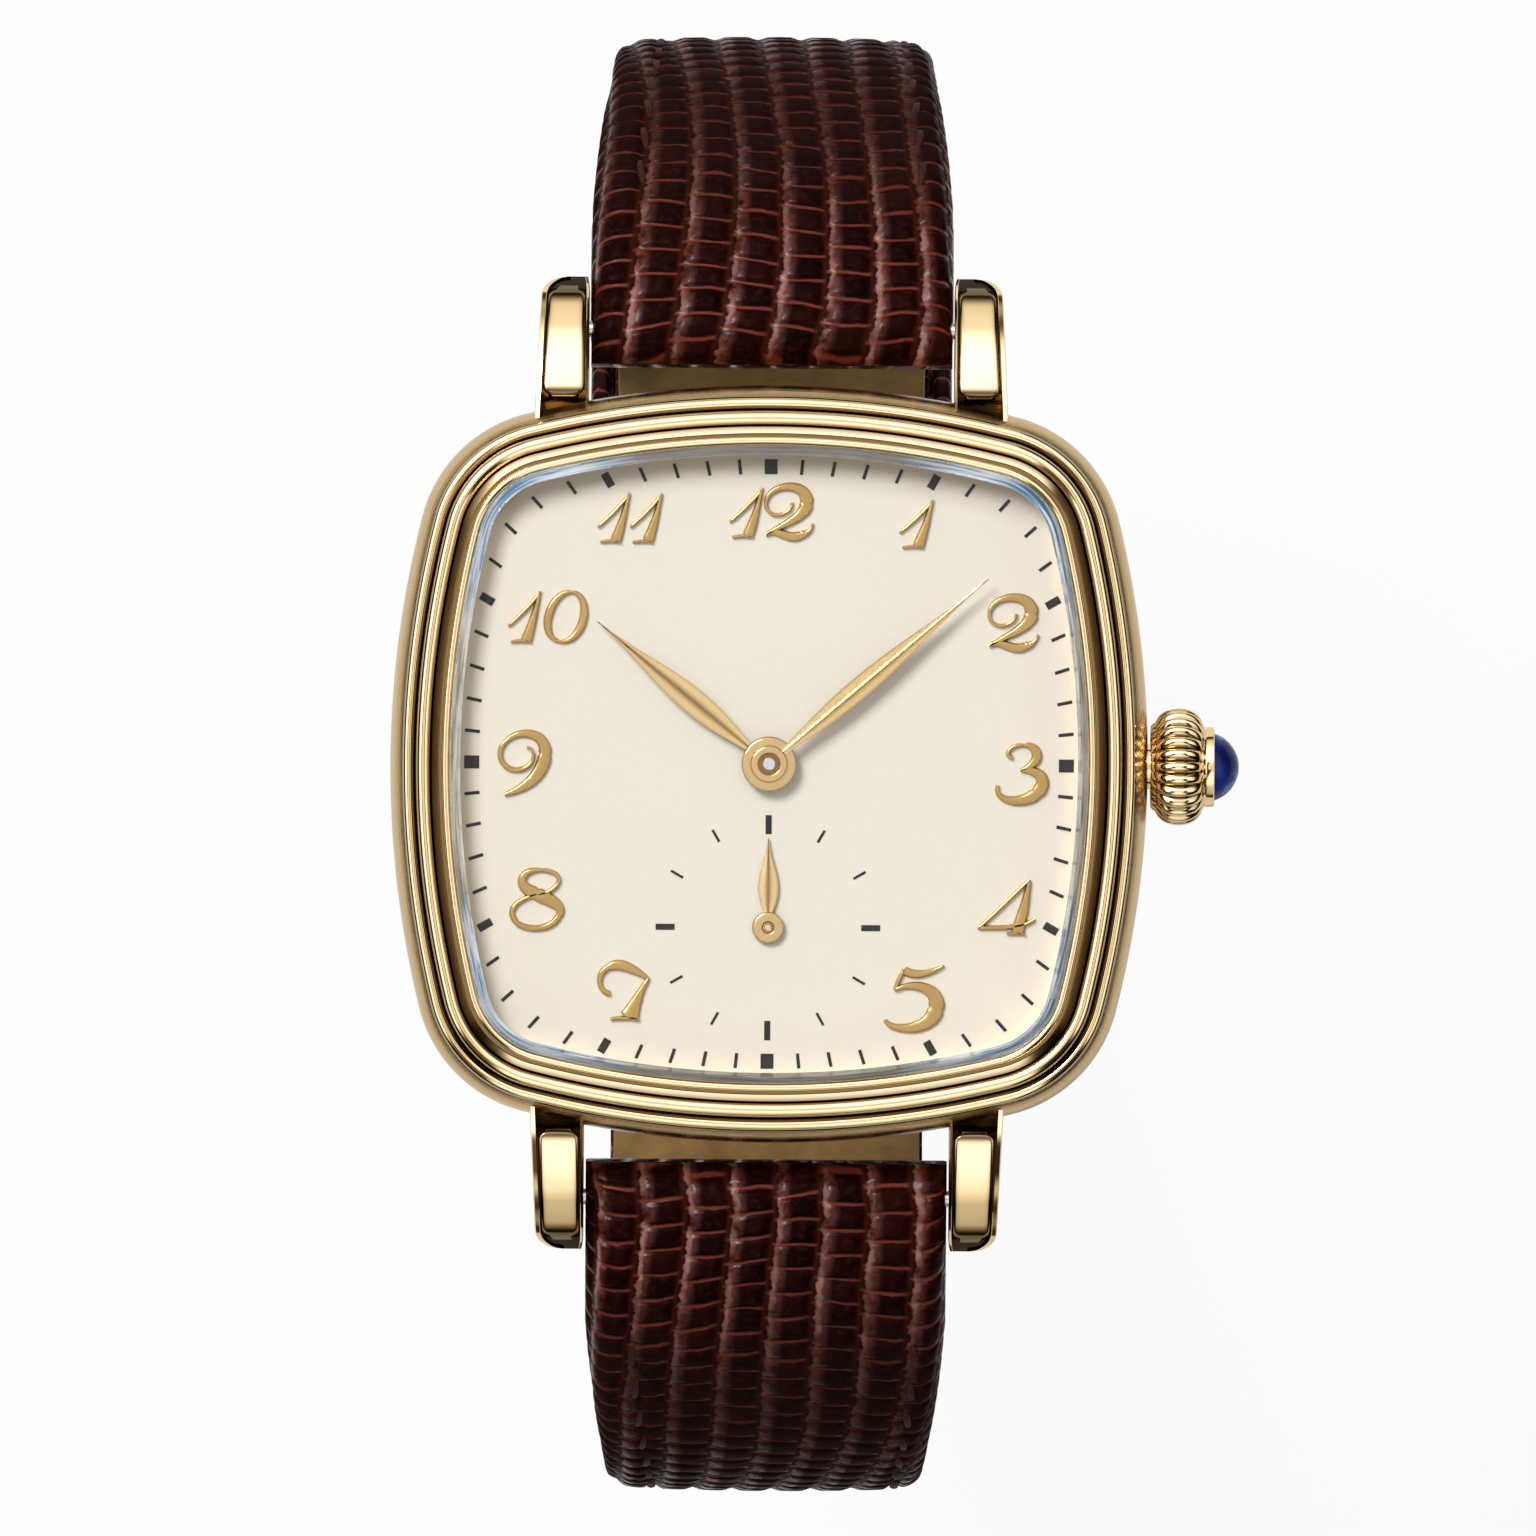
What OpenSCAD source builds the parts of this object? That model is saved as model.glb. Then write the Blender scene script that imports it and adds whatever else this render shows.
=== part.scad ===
// Hand-wound wristwatch with a cushion-shaped case, small seconds and a leather strap.
// The dial faces +Z, 12 o'clock is +Y and the crown is +X. Z is 0 at the case back's flat face.

/* [Case] */
// Width of the cushion outline from 9 to 3 o'clock
case_width = 37.5; // [36.5:0.1:39]
// Radius of the four gently bowed sides
side_radius = 50; // [46:1:58]
// Radius of the four corners
corner_radius = 7; // [6.5:0.1:8]
// Height of the case band between the back and the bezel
band_height = 5.6; // [5.5:0.05:6]
// Thickness of the case back
back_thickness = 1.3; // [1.2:0.05:1.6]
// Wall of the case band at its top, from the outline inwards
band_wall = 3.25; // [3.1:0.05:3.4]
// Radius of the round window in the case back
window_radius = 12.2; // [11:0.1:12.4]
// Thickness of the case back's window glass
window_glass = 0.8; // [0.6:0.05:0.9]

/* [Bezel and crystal] */
// Height of the stepped bezel above the band
bezel_height = 1.75; // [1.5:0.05:2]
// Width of the stepped bezel, from the outline to the crystal
bezel_width = 2.95; // [2.8:0.05:3.1]
// Thickness of the crystal
crystal_thickness = 1.2; // [1:0.05:1.5]
// Thickness of the crystal gasket
gasket_thickness = 0.1; // [0.08:0.01:0.15]

/* [Lugs and strap] */
// Width between the lugs, which is the strap's width there
lug_gap = 18; // [17:0.5:19]
// Width of one lug
lug_width = 2.7; // [2.4:0.1:3]
// Distance from the centre to a lug's tip
lug_reach = 24.1; // [23.6:0.1:24.6]
// Distance from the centre to a spring bar
bar_reach = 21.5; // [21.3:0.1:21.8]
// Height of the spring bars above the case back
bar_height = 2.5; // [2.3:0.1:2.8]
// Diameter of a spring bar's tube
bar_diameter = 1.5; // [1.3:0.1:1.6]
// Length of the strap's buckle half
upper_length = 75; // [70:1:78]
// Length of the strap's half with the holes
lower_length = 115; // [105:1:118]
// Width of the strap beyond its taper
strap_end_width = 16; // [15:0.5:16.5]
// Thickness of the strap's lining
lining_thickness = 0.9; // [0.7:0.1:1.1]
// Number of holes in the strap
strap_holes = 7; // [5:1:8]
// Distance from one strap hole to the next
hole_pitch = 6; // [5:0.5:6.5]

/* [Dial and hands] */
// Thickness of the dial
dial_thickness = 0.4; // [0.3:0.05:0.5]
// Distance from the centre down to the small seconds
seconds_drop = 8.08; // [7.9:0.02:8.2]
// Length of the hour hand
hour_length = 11; // [9:0.5:11.5]
// Length of the minute hand
minute_length = 14.2; // [13:0.1:14.4]
// Length of the small seconds hand
seconds_length = 4.5; // [3.5:0.1:4.8]
// Greatest width of the hour hand's leaf
hour_leaf = 1; // [0.8:0.05:1.3]
// Greatest width of the minute hand's leaf
minute_leaf = 0.8; // [0.7:0.05:1.1]
// Greatest width of the seconds hand's leaf
seconds_leaf = 0.8; // [0.6:0.05:0.9]
// Height of a two-line numeral on the dial
numeral_height = 2.6; // [2.2:0.1:2.8]
// Thickness of the applied numerals
numeral_thickness = 0.25; // [0.2:0.05:0.3]

/* [Crown] */
// Diameter of the onion crown
crown_diameter = 5.8; // [5.4:0.1:6]
// Length of the crown from its foot to the flat ring
crown_length = 2.75; // [2.6:0.05:2.9]
// Diameter of the cabochon
cabochon_diameter = 3.35; // [3:0.05:3.5]
// How far the cabochon stands out of its ring
cabochon_rise = 1.25; // [1:0.05:1.4]
// Number of flutes round the crown
crown_flutes = 36; // [24:1:40]
// How far the crown pulls out to set the hands
crown_travel = 1; // [0.8:0.1:1.1]

/* [Movement] */
// Diameter of the movement
movement_diameter = 27.6; // [27.4:0.1:27.7]
// Thickness of the mainplate
plate_thickness = 1; // [0.95:0.05:1.1]
// Thickness of the bridges
bridge_thickness = 0.8; // [0.7:0.05:0.8]
// Distance between the barrel and the centre wheel
barrel_distance = 6.52; // [6.5:0.01:6.54]
// Distance between the centre wheel and the third wheel
third_distance = 5.85; // [5.83:0.01:5.87]
// Distance between the third wheel and the fourth wheel
fourth_distance = 4.68; // [4.67:0.01:4.7]
// Distance between the fourth wheel and the escape wheel
escape_distance = 3.96; // [3.94:0.01:3.98]
// Radius of the balance wheel
balance_radius = 3.7; // [3.5:0.05:3.75]
// Turns of the balance spring
hairspring_turns = 4.5; // [3.5:0.5:4.5]
// Thickness of a train wheel
wheel_thickness = 0.2; // [0.15:0.01:0.22]
// Teeth of the barrel, and of the centre and fourth wheels
wheel_teeth = 80; // [80]
// Leaves of the centre, third and fourth pinions
pinion_leaves = 10; // [10]
// Teeth of the third wheel
third_teeth = 75; // [75]
// Leaves of the escape pinion
escape_leaves = 8; // [8]
// Teeth of the escape wheel
escape_teeth = 15; // [15]
// Radial clearance of a shaft or pivot in its hole
shaft_clearance = 0.06; // [0.05:0.01:0.08]
// Clearance of a piece that is pressed or set in another
set_clearance = 0.02; // [0.01:0.01:0.03]
// Clearance between a moving piece and what it passes
pass_clearance = 0.08; // [0.06:0.01:0.1]

/* [Hidden] */

gold = [0.79, 0.63, 0.35];
dull_gold = [0.66, 0.52, 0.27];
steel = [0.72, 0.73, 0.75];
brass = [0.82, 0.68, 0.38];
rhodium = [0.8, 0.8, 0.8];
ruby = [0.75, 0.08, 0.22];
ivory = [0.94, 0.92, 0.86];
leather = [0.14, 0.06, 0.05];
lining_tan = [0.5, 0.4, 0.24];
blued = [0.15, 0.25, 0.6];
lapis = [0.08, 0.13, 0.4];
rubber_black = [0.1, 0.1, 0.1];
glass_pale = [0.8, 0.85, 0.9, 0.5];

// Levels of the case, from the back to the crystal
z_band_top = back_thickness + band_height;
z_bezel_top = z_band_top + bezel_height;
wheel_cover_gap = 0.5;
z_bridge = back_thickness + wheel_cover_gap;
z_train = z_bridge + bridge_thickness;
train_height = 1.5;
z_plate = z_train + train_height;
z_plate_top = z_plate + plate_thickness;
motion_height = 1.1;
z_dial = z_plate_top + motion_height;
z_dial_top = z_dial + dial_thickness;
dial_air = 1.3;
z_gasket = z_dial_top + dial_air;
z_crystal = z_gasket + gasket_thickness;

// Levels of the wheels between the bridges and the mainplate
z_center_wheel = z_train + pass_clearance;
z_barrel_teeth = z_train + 0.45;
z_fourth_wheel = z_train + 0.57;
z_escape_wheel = z_plate - wheel_thickness - 2 * pass_clearance;
z_third_wheel = z_escape_wheel;
barrel_height = 1.6;
barrel_teeth_height = 0.3;

// Outline of the cushion: four side arcs joined by four corner arcs that meet them smoothly
side_centre = side_radius - case_width / 2;
corner_reach = side_radius - corner_radius;
corner_centre = (sqrt(2 * pow(corner_reach, 2) - pow(side_centre, 2)) - side_centre) / 2;
side_angle = atan2(corner_centre, corner_centre + side_centre);
side_steps = 8;
corner_steps = 7;
outline_count = 4 * (side_steps + corner_steps);

// Places of the wheels
barrel_angle = 65;
spot_center = [0, 0];
spot_barrel = polar(barrel_distance, barrel_angle);
spot_fourth = [0, -seconds_drop];
third_fall = (pow(fourth_distance, 2) - pow(third_distance, 2) - pow(seconds_drop, 2))
  / (2 * seconds_drop);
spot_third = [sqrt(pow(third_distance, 2) - pow(third_fall, 2)), third_fall];
escape_angle = 160;
spot_escape = spot_fourth + polar(escape_distance, escape_angle);
lever_angle = 135;
pallet_distance = 2.75;
lever_length = 3.1;
lever_way = polar(1, lever_angle);
spot_pallet = spot_escape + pallet_distance * lever_way;
spot_balance = spot_pallet + lever_length * lever_way;
movement_radius = movement_diameter / 2;

// Keyless works along the stem
z_stem = z_plate - 0.2;
stem_radius = 0.6;
spot_crown_wheel = [7.4, 0];
crown_wheel_teeth = 30;
ratchet_teeth = 58;
ratchet_distance = norm(spot_barrel - spot_crown_wheel);
ratchet_module = 2 * ratchet_distance / (ratchet_teeth + crown_wheel_teeth);
ratchet_radius = ratchet_module * ratchet_teeth / 2;
winding_x = 9.7;
winding_length = 0.8;
sliding_x = 7.3;
sliding_length = 1.6;
sliding_radius = 1.2;
sliding_travel = 0.6;
lever_groove_x = 11.2;
lever_groove = 0.8;
groove_start = lever_groove_x - lever_groove / 2;

// Motion works under the dial
motion_distance = 2.88;
cannon_leaves = 12;
minute_wheel_teeth = 36;
minute_pinion_leaves = 10;
hour_wheel_teeth = 40;
setting_teeth = 20;
motion_module = 2 * motion_distance / (cannon_leaves + minute_wheel_teeth);
hour_module = 2 * motion_distance / (minute_pinion_leaves + hour_wheel_teeth);
minute_wheel_angle = 20;
spot_minute_wheel = polar(motion_distance, minute_wheel_angle);
setting_distance = motion_module * (minute_wheel_teeth + setting_teeth) / 2;
setting_angle = -10;
spot_setting = spot_minute_wheel + polar(setting_distance, setting_angle);
z_motion = z_plate_top + 0.12;
z_minute_pinion = z_motion + 0.42;

// Crown, along X
crown_foot = case_width / 2 + 0.12;
crown_tip = crown_foot + crown_length;
ring_thickness = 0.4;
tube_radius = 1.1;
tube_end = crown_foot + 1.3;
tube_bore = stem_radius + pass_clearance;

// Strap route: an arc from the bar to the widest point, a second arc and a straight end
strap_lean = 25;
strap_reach = 34.7;
first_radius = (strap_reach - bar_reach) / (1 - sin(strap_lean));
first_length = first_radius * (90 - strap_lean) * PI / 180;
upper_heading = 130;
upper_bend = 38.7;
lower_heading = 140;
loop_radius = 1.9;
strap_width = lug_gap - 0.1;

function polar(radius, a) = radius * [cos(a), sin(a)];
function turned(p, a) = [p[0] * cos(a) - p[1] * sin(a), p[0] * sin(a) + p[1] * cos(a)];

function arc(centre, radius, from, to, steps) = [
  for (i = [0:steps])
    let (a = from + (to - from) * i / steps)
    centre + polar(radius, a)
];

function reversed(list) = [for (i = [len(list) - 1:-1:0]) list[i]];

// Points of the cushion outline, moved inwards by inset
function cushion_points(inset) = [
  for (quarter = [0:3])
    each concat(
      [for (p = arc([-side_centre, 0], side_radius - inset, -side_angle, side_angle, side_steps))
        turned(p, 90 * quarter)],
      [for (i = [1:corner_steps - 1])
        let (a = side_angle + (90 - 2 * side_angle) * i / corner_steps)
        turned([corner_centre, corner_centre]
          + polar(corner_radius - inset, a), 90 * quarter)])
];

// Solid ring whose cross-section runs round the cushion outline; each point is [inset, z]
module cushion_ring(section) {
  count = outline_count;
  rows = len(section);
  points = [for (s = section) each [for (p = cushion_points(s[0])) [p[0], p[1], s[1]]]];
  faces = [
    for (i = [0:rows - 1])
      for (j = [0:count - 1])
        let (k = (i + 1) % rows, m = (j + 1) % count)
        each [[i * count + j, k * count + j, k * count + m],
          [i * count + j, k * count + m, i * count + m]]
  ];
  polyhedron(points, faces);
}

// Flat plate with the cushion outline
module cushion_plate(inset, low, high) {
  translate([0, 0, low])
    linear_extrude(high - low)
      polygon(cushion_points(inset));
}

// Flat ring between two insets of the cushion outline
module cushion_frame(outer, inner, low, high) {
  translate([0, 0, low])
    linear_extrude(high - low)
      difference() {
        polygon(cushion_points(outer));
        polygon(cushion_points(inner));
      }
}

module up(z) {
  translate([0, 0, z])
    children();
}

// Moves its children to a spot of the movement, at height z
module at(spot, z) {
  translate([spot[0], spot[1], z])
    children();
}

module disc(spot, radius, low, high, sides = 64) {
  at(spot, low)
    cylinder(r = radius, h = high - low, $fn = sides);
}

// Through hole in a bridge, a plate or a small lever
module bore(spot, radius, sides = 32) {
  disc(spot, radius, 0.9, z_dial + 3, sides);
}

// Hole along the local Z axis
module drill(radius, from = -1, length = 6, sides = 32) {
  up(from)
    cylinder(r = radius, h = length, $fn = sides);
}

module washer(spot, outer, inner, low, high, sides = 64) {
  at(spot, low)
    difference() {
      cylinder(r = outer, h = high - low, $fn = sides);
      drill(inner, -1, high - low + 2, sides);
    }
}

// Cylinder along X
module rod(radius, from, to, z, y = 0, sides = 48) {
  translate([from, y, z])
    rotate([0, 90, 0])
      cylinder(r = radius, h = to - from, $fn = sides);
}

// Points of a gear: each tooth is a trapezoid, as wide at the pitch circle as share of the pitch
function gear_points(teeth, size, above, below, share, tip = 0.45) = [
  for (i = [0:teeth - 1])
    let (pitch = 360 / teeth, half = pitch * share / 2, radius = teeth * size / 2)
    each [
      polar(radius - below * size, i * pitch - 1.3 * half),
      polar(radius + above * size, i * pitch - tip * half),
      polar(radius + above * size, i * pitch + tip * half),
      polar(radius - below * size, i * pitch + 1.3 * half)
    ]
];

// Points of one open window between two spokes
function window_points(inner, outer, from, to, spoke) =
  let (outer_half = asin(spoke / 2 / outer), inner_half = asin(spoke / 2 / inner))
  concat(
    arc([0, 0], outer, from + outer_half, to - outer_half, 6),
    arc([0, 0], inner, to - inner_half, from + inner_half, 3));

// Toothed wheel with spokes and a small hole that its arbor fills
module spoked_wheel(spot, teeth, size, low, spokes, hub, rim, spoke, hole, phase = 0) {
  at(spot, low)
    rotate(phase)
      linear_extrude(wheel_thickness)
        difference() {
          polygon(gear_points(teeth, size, 0.85, 1.15, 0.44));
          for (i = [0:spokes - 1])
            polygon(window_points(hub, rim, 360 * i / spokes, 360 * (i + 1) / spokes, spoke));
          circle(r = hole, $fn = 12);
        }
}

// Pinion with a small hole that its arbor fills
module pinion(spot, leaves, size, low, high, hole, phase = 0) {
  at(spot, low)
    rotate(phase)
      linear_extrude(high - low)
        difference() {
          polygon(gear_points(leaves, size, 0.65, 1.15, 0.34));
          circle(r = hole, $fn = 12);
        }
}

// Angle from one spot to another, at which a driver holds out a tooth
function way(from, to) = atan2(to[1] - from[1], to[0] - from[0]);
// Angle that turns a gap of the driven gear to that tooth
function meshed(teeth, driver, driven) = way(driver, driven) + 180 + 180 / teeth;

// Thin pivots that run in the jewels of a bridge and of the mainplate
pivot_radius = 0.12;
module bridge_pivot(spot, radius = pivot_radius) {
  disc(spot, radius, z_train - 0.35, z_train + 0.05, 24);
}
module plate_pivot(spot) {
  disc(spot, pivot_radius, z_plate - 0.06, z_plate + 0.4, 24);
}

lug_inner = lug_gap / 2 + 0.05;
lug_root = case_width / 2 - 2.45;
lug_side = concat(
  [for (i = [0:6])
    let (t = i / 6)
    pow(1 - t, 2) * [lug_root, z_band_top - 0.6] + 2 * t * (1 - t) * [lug_reach - 2.4, z_band_top - 0.5]
      + t * t * [lug_reach, 2.7]],
  [[lug_reach + 0.02, 1.3], [lug_reach - 0.5, 0.5]],
  [for (i = [1:4])
    let (t = i / 4)
    [lug_reach - 0.5 - t * (lug_reach - 0.5 - lug_root), 0.5 + (back_thickness - 0.3) * t * t]]);
lug_plan = [
  [lug_inner, lug_root], [lug_inner + lug_width, lug_root],
  [lug_inner + lug_width - 0.35, lug_reach - 0.25], [lug_inner + lug_width - 0.6, lug_reach - 0.1],
  [lug_inner + 0.15, lug_reach], [lug_inner, lug_reach - 0.2]
];

module lug() {
  intersection() {
    rotate([90, 0, 90])
      linear_extrude(lug_inner + lug_width + 1)
        polygon(lug_side);
    linear_extrude(z_band_top)
      polygon(lug_plan);
  }
}

// Wall of the band: a soft bulge outside and a ledge at the bottom inside
ledge_inset = band_wall + 1.55;
ledge_height = 0.6;
band_section = concat(
  [[1.15, back_thickness]],
  [for (i = [0:6])
    let (t = i / 6)
    [0.9 * pow(2 * t - 1, 4), back_thickness + 0.25 + t * (band_height - 0.35)]],
  [[1.15, z_band_top], [band_wall, z_band_top],
    [band_wall, back_thickness + ledge_height], [ledge_inset, back_thickness + ledge_height],
    [ledge_inset, back_thickness]]);
screw_inset = 2.55;
screw_place = corner_centre + (corner_radius - screw_inset) * cos(45);
screw_radius = 0.4;
screw_head = 0.9;
screw_head_height = 0.6;
screw_length = 3.2;

module at_corners() {
  for (a = [0:90:270])
    rotate(a)
      translate([screw_place, screw_place, 0])
        children();
}

module case_band() {
  color(dull_gold)
    difference() {
      union() {
        cushion_ring(band_section);
        for (side = [0, 1])
          mirror([side, 0, 0])
            for (end = [0, 1])
              mirror([0, end, 0])
                lug();
      }
      at_corners()
        up(back_thickness - 1)
          cylinder(r = screw_radius + set_clearance, h = screw_length, $fn = 32);
      rod(tube_radius + set_clearance, case_width / 2 - band_wall - 1, case_width / 2 + 1, z_stem);
      for (end = [-1, 1])
        for (side = [-1, 1])
          translate([side * (lug_inner + 0.5), end * bar_reach, bar_height])
            rotate([0, 90, 0])
              cylinder(r = bar_tip_radius + shaft_clearance, h = 1.2, center = true, $fn = 32);
    }
}

// Stepped bezel: two rounded beads, a flat step, a groove and the crystal's seat
bezel_foot = 0.6;
bead_low = 0.28;
bead_high = 0.34;
seat_inset = bezel_width + 0.55;
bezel_section = concat(
  [[bezel_foot, z_band_top], [bezel_foot, z_band_top + 0.4]],
  arc([bezel_foot + 0.33, z_band_top + 0.62], bead_low, 180, 20, 4),
  [[bezel_foot + 0.68, z_band_top + 0.75]],
  arc([bezel_foot + 1.07, z_band_top + 1.2], bead_high, 190, 20, 4),
  [[bezel_foot + 1.45, z_bezel_top - 0.4], [bezel_width - 0.55, z_bezel_top - 0.32],
    [bezel_width - 0.5, z_bezel_top - 0.5], [bezel_width - 0.38, z_bezel_top - 0.5],
    [bezel_width - 0.33, z_bezel_top - 0.06], [bezel_width - 0.15, z_bezel_top],
    [bezel_width, z_bezel_top - 0.12], [bezel_width, z_gasket],
    [seat_inset, z_gasket], [seat_inset, z_dial_top + set_clearance],
    [band_wall + set_clearance, z_dial_top + set_clearance],
    [band_wall + set_clearance, z_band_top]]);

module bezel() {
  color(gold)
    cushion_ring(bezel_section);
}

crystal_inset = bezel_width + set_clearance;
crystal_bevel = 0.5;

// Stacked cushion outlines with a flat bottom and top; each layer is [inset, z]
module cushion_stack(layers) {
  count = outline_count;
  rows = len(layers);
  points = [for (s = layers) each [for (p = cushion_points(s[0])) [p[0], p[1], s[1]]]];
  walls = [
    for (i = [0:rows - 2])
      for (j = [0:count - 1])
        let (m = (j + 1) % count)
        each [[i * count + j, (i + 1) * count + j, (i + 1) * count + m],
          [i * count + j, (i + 1) * count + m, i * count + m]]
  ];
  bottom = [for (j = [0:count - 1]) j];
  top = [for (j = [count - 1:-1:0]) (rows - 1) * count + j];
  polyhedron(points, concat(walls, [bottom, top]));
}

module crystal() {
  color(glass_pale)
    cushion_stack([
      [crystal_inset, z_crystal],
      [crystal_inset, z_crystal + crystal_thickness - 0.6],
      [crystal_inset + crystal_bevel, z_crystal + crystal_thickness - 0.2],
      [crystal_inset + 3.2, z_crystal + crystal_thickness]
    ]);
}

// Case back with its window, its glass, its gasket and its screws
back_inset = 1.2;
glass_radius = window_radius + 0.5;
glass_lip = 0.3;
gasket_groove = 0.25;
gasket_inset = band_wall + 0.75;
gasket_band = 0.4;

module case_back() {
  color(gold)
    difference() {
      union() {
        cushion_plate(back_inset + 0.35, 0, 0.35);
        cushion_plate(back_inset, 0.35, back_thickness);
      }
      disc([0, 0], window_radius, -1, back_thickness + 1, 96);
      disc([0, 0], glass_radius + set_clearance, glass_lip, back_thickness + 1, 96);
      cushion_frame(gasket_inset, gasket_inset + gasket_band,
        back_thickness - gasket_groove, back_thickness + 1);
      at_corners() {
        drill(screw_radius + shaft_clearance);
        drill(screw_head + shaft_clearance, -1, 1 + screw_head_height);
      }
    }
}

// The glass is set from the inside: its narrow face is flush with the case back
module window_glass_disc() {
  color(glass_pale) {
    disc([0, 0], window_radius - set_clearance, 0, glass_lip + 0.1, 96);
    disc([0, 0], glass_radius, glass_lip, glass_lip + window_glass, 96);
  }
}

// Flat gaskets under the crystal and under the case band
module gaskets() {
  color(rubber_black) {
    cushion_frame(crystal_inset, seat_inset - 0.05, z_gasket, z_crystal);
    cushion_frame(gasket_inset + set_clearance, gasket_inset + gasket_band - set_clearance,
      back_thickness - gasket_groove, back_thickness);
  }
}

// A slotted screw that points up, its head at the bottom
module slotted_screw(head, head_height, shank, length, slot) {
  difference() {
    union() {
      cylinder(r = head, h = head_height, $fn = 32);
      cylinder(r = shank, h = length, $fn = 24);
    }
    translate([-head - 1, -slot / 2, -1])
      cube([2 * head + 2, slot, 1 + 0.5 * head_height]);
  }
}

// Ring that holds the round movement in the cushion-shaped case
flange_radius = movement_radius + 0.4;
flange_height = 0.25;

module movement_ring() {
  color(brass)
    difference() {
      cushion_plate(band_wall + 0.05, back_thickness + ledge_height, z_dial);
      disc([0, 0], movement_radius + 0.05, 0, z_dial + 1, 96);
      disc([0, 0], flange_radius + 0.05, z_plate_top - flange_height, z_dial + 1, 96);
      rod(tube_radius + 0.3, movement_radius - 2, case_width / 2, z_stem);
    }
}

// Dial with two feet that stand in the mainplate
feet = [[-9.2, 8.8], [9.2, -8.8]];
foot_radius = 0.4;

module dial() {
  color(ivory)
    difference() {
      union() {
        cushion_plate(band_wall + 0.08, z_dial, z_dial_top);
        for (foot = feet)
          disc(foot, foot_radius, z_plate_top - 0.6, z_dial + 0.1, 24);
      }
      disc(spot_center, hour_pipe + 0.25, z_dial - 1, z_dial_top + 1, 48);
      disc(spot_fourth, 0.5, z_dial - 1, z_dial_top + 1, 32);
    }
}

// Numerals drawn as tapering pen strokes in a cell one unit high.
// A stroke is [start, first pull, second pull, end, width at the start, middle and end].
function pen_point(s, t) = pow(1 - t, 3) * s[0] + 3 * t * pow(1 - t, 2) * s[1]
  + 3 * t * t * (1 - t) * s[2] + pow(t, 3) * s[3];
function pen_way(s, t) = 3 * pow(1 - t, 2) * (s[1] - s[0]) + 6 * t * (1 - t) * (s[2] - s[1])
  + 3 * t * t * (s[3] - s[2]);
function pen_half(s, t) = (pow(1 - t, 2) * s[4] + 2 * t * (1 - t) * s[5] + t * t * s[6]) / 2;
function pen_side(s, t, side) =
  let (v = pen_way(s, t), n = [-v[1], v[0]] / norm(v))
  pen_point(s, t) + side * pen_half(s, t) * n;
pen_steps = 8;
function stroke_points(s) = concat(
  [for (i = [0:pen_steps]) pen_side(s, i / pen_steps, 1)],
  [for (i = [pen_steps:-1:0]) pen_side(s, i / pen_steps, -1)]);

one = [
  [[0.97, 0.99], [0.86, 0.7], [0.74, 0.36], [0.55, 0.04], 0.05, 0.2, 0.3],
  [[0, 0.32], [0.2, 0.42], [0.6, 0.66], [0.9, 0.9], 0.04, 0.09, 0.07],
  [[0.08, 0.02], [0.3, 0.05], [0.45, 0.05], [0.7, 0.02], 0.04, 0.07, 0.04]
];
two = [
  [[0.57, 0.7], [0.55, 0.42], [0.06, 0.36], [0.05, 0.68], 0.05, 0.07, 0.07],
  [[0.05, 0.68], [0.05, 1.08], [0.88, 1.16], [0.86, 0.7], 0.07, 0.12, 0.26],
  [[0.86, 0.7], [0.82, 0.4], [0.38, 0.28], [0.05, 0.06], 0.26, 0.14, 0.07],
  [[0.05, 0.08], [0.3, 0.22], [0.48, -0.06], [0.76, 0.07], 0.06, 0.2, 0.16],
  [[0.76, 0.07], [0.88, 0.1], [0.96, 0.18], [0.98, 0.3], 0.16, 0.06, 0.03]
];
three = [
  [[0.34, 0.76], [0.16, 0.8], [0.3, 1], [0.57, 0.98], 0.08, 0.06, 0.05],
  [[0.57, 0.98], [0.86, 0.98], [0.94, 0.66], [0.5, 0.54], 0.05, 0.3, 0.05],
  [[0.5, 0.54], [0.86, 0.58], [1.06, 0.36], [0.8, 0.14], 0.05, 0.26, 0.22],
  [[0.8, 0.14], [0.56, -0.06], [-0.02, -0.02], [0.07, 0.28], 0.22, 0.12, 0.07]
];
four = [
  [[0.87, 0.99], [0.6, 0.7], [0.3, 0.38], [0.02, 0.12], 0.05, 0.05, 0.06],
  [[0.02, 0.13], [0.35, 0.15], [0.75, 0.1], [0.96, 0.3], 0.07, 0.09, 0.05],
  [[0.87, 0.99], [0.82, 0.65], [0.76, 0.36], [0.67, 0.04], 0.05, 0.16, 0.2],
  [[0.5, 0.03], [0.6, 0.04], [0.7, 0.04], [0.8, 0.03], 0.04, 0.06, 0.04]
];
five = [
  [[0.36, 0.96], [0.3, 0.84], [0.24, 0.74], [0.2, 0.6], 0.05, 0.07, 0.06],
  [[0.34, 0.92], [0.5, 0.82], [0.74, 0.84], [1, 1], 0.13, 0.14, 0.03],
  [[0.2, 0.6], [0.44, 0.76], [0.96, 0.66], [0.88, 0.32], 0.05, 0.14, 0.26],
  [[0.88, 0.32], [0.8, -0.06], [0.1, -0.06], [0.04, 0.14], 0.26, 0.12, 0.06]
];
seven = [
  [[0.24, 0.47], [0.04, 0.46], [-0.06, 0.8], [0.2, 0.92], 0.1, 0.07, 0.12],
  [[0.2, 0.92], [0.42, 1.04], [0.66, 0.9], [0.97, 0.73], 0.12, 0.24, 0.05],
  [[0.95, 0.72], [0.8, 0.5], [0.7, 0.25], [0.6, 0.05], 0.06, 0.14, 0.34],
  [[0.25, 0.03], [0.4, 0.05], [0.6, 0.05], [0.79, 0.03], 0.04, 0.08, 0.04]
];
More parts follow.
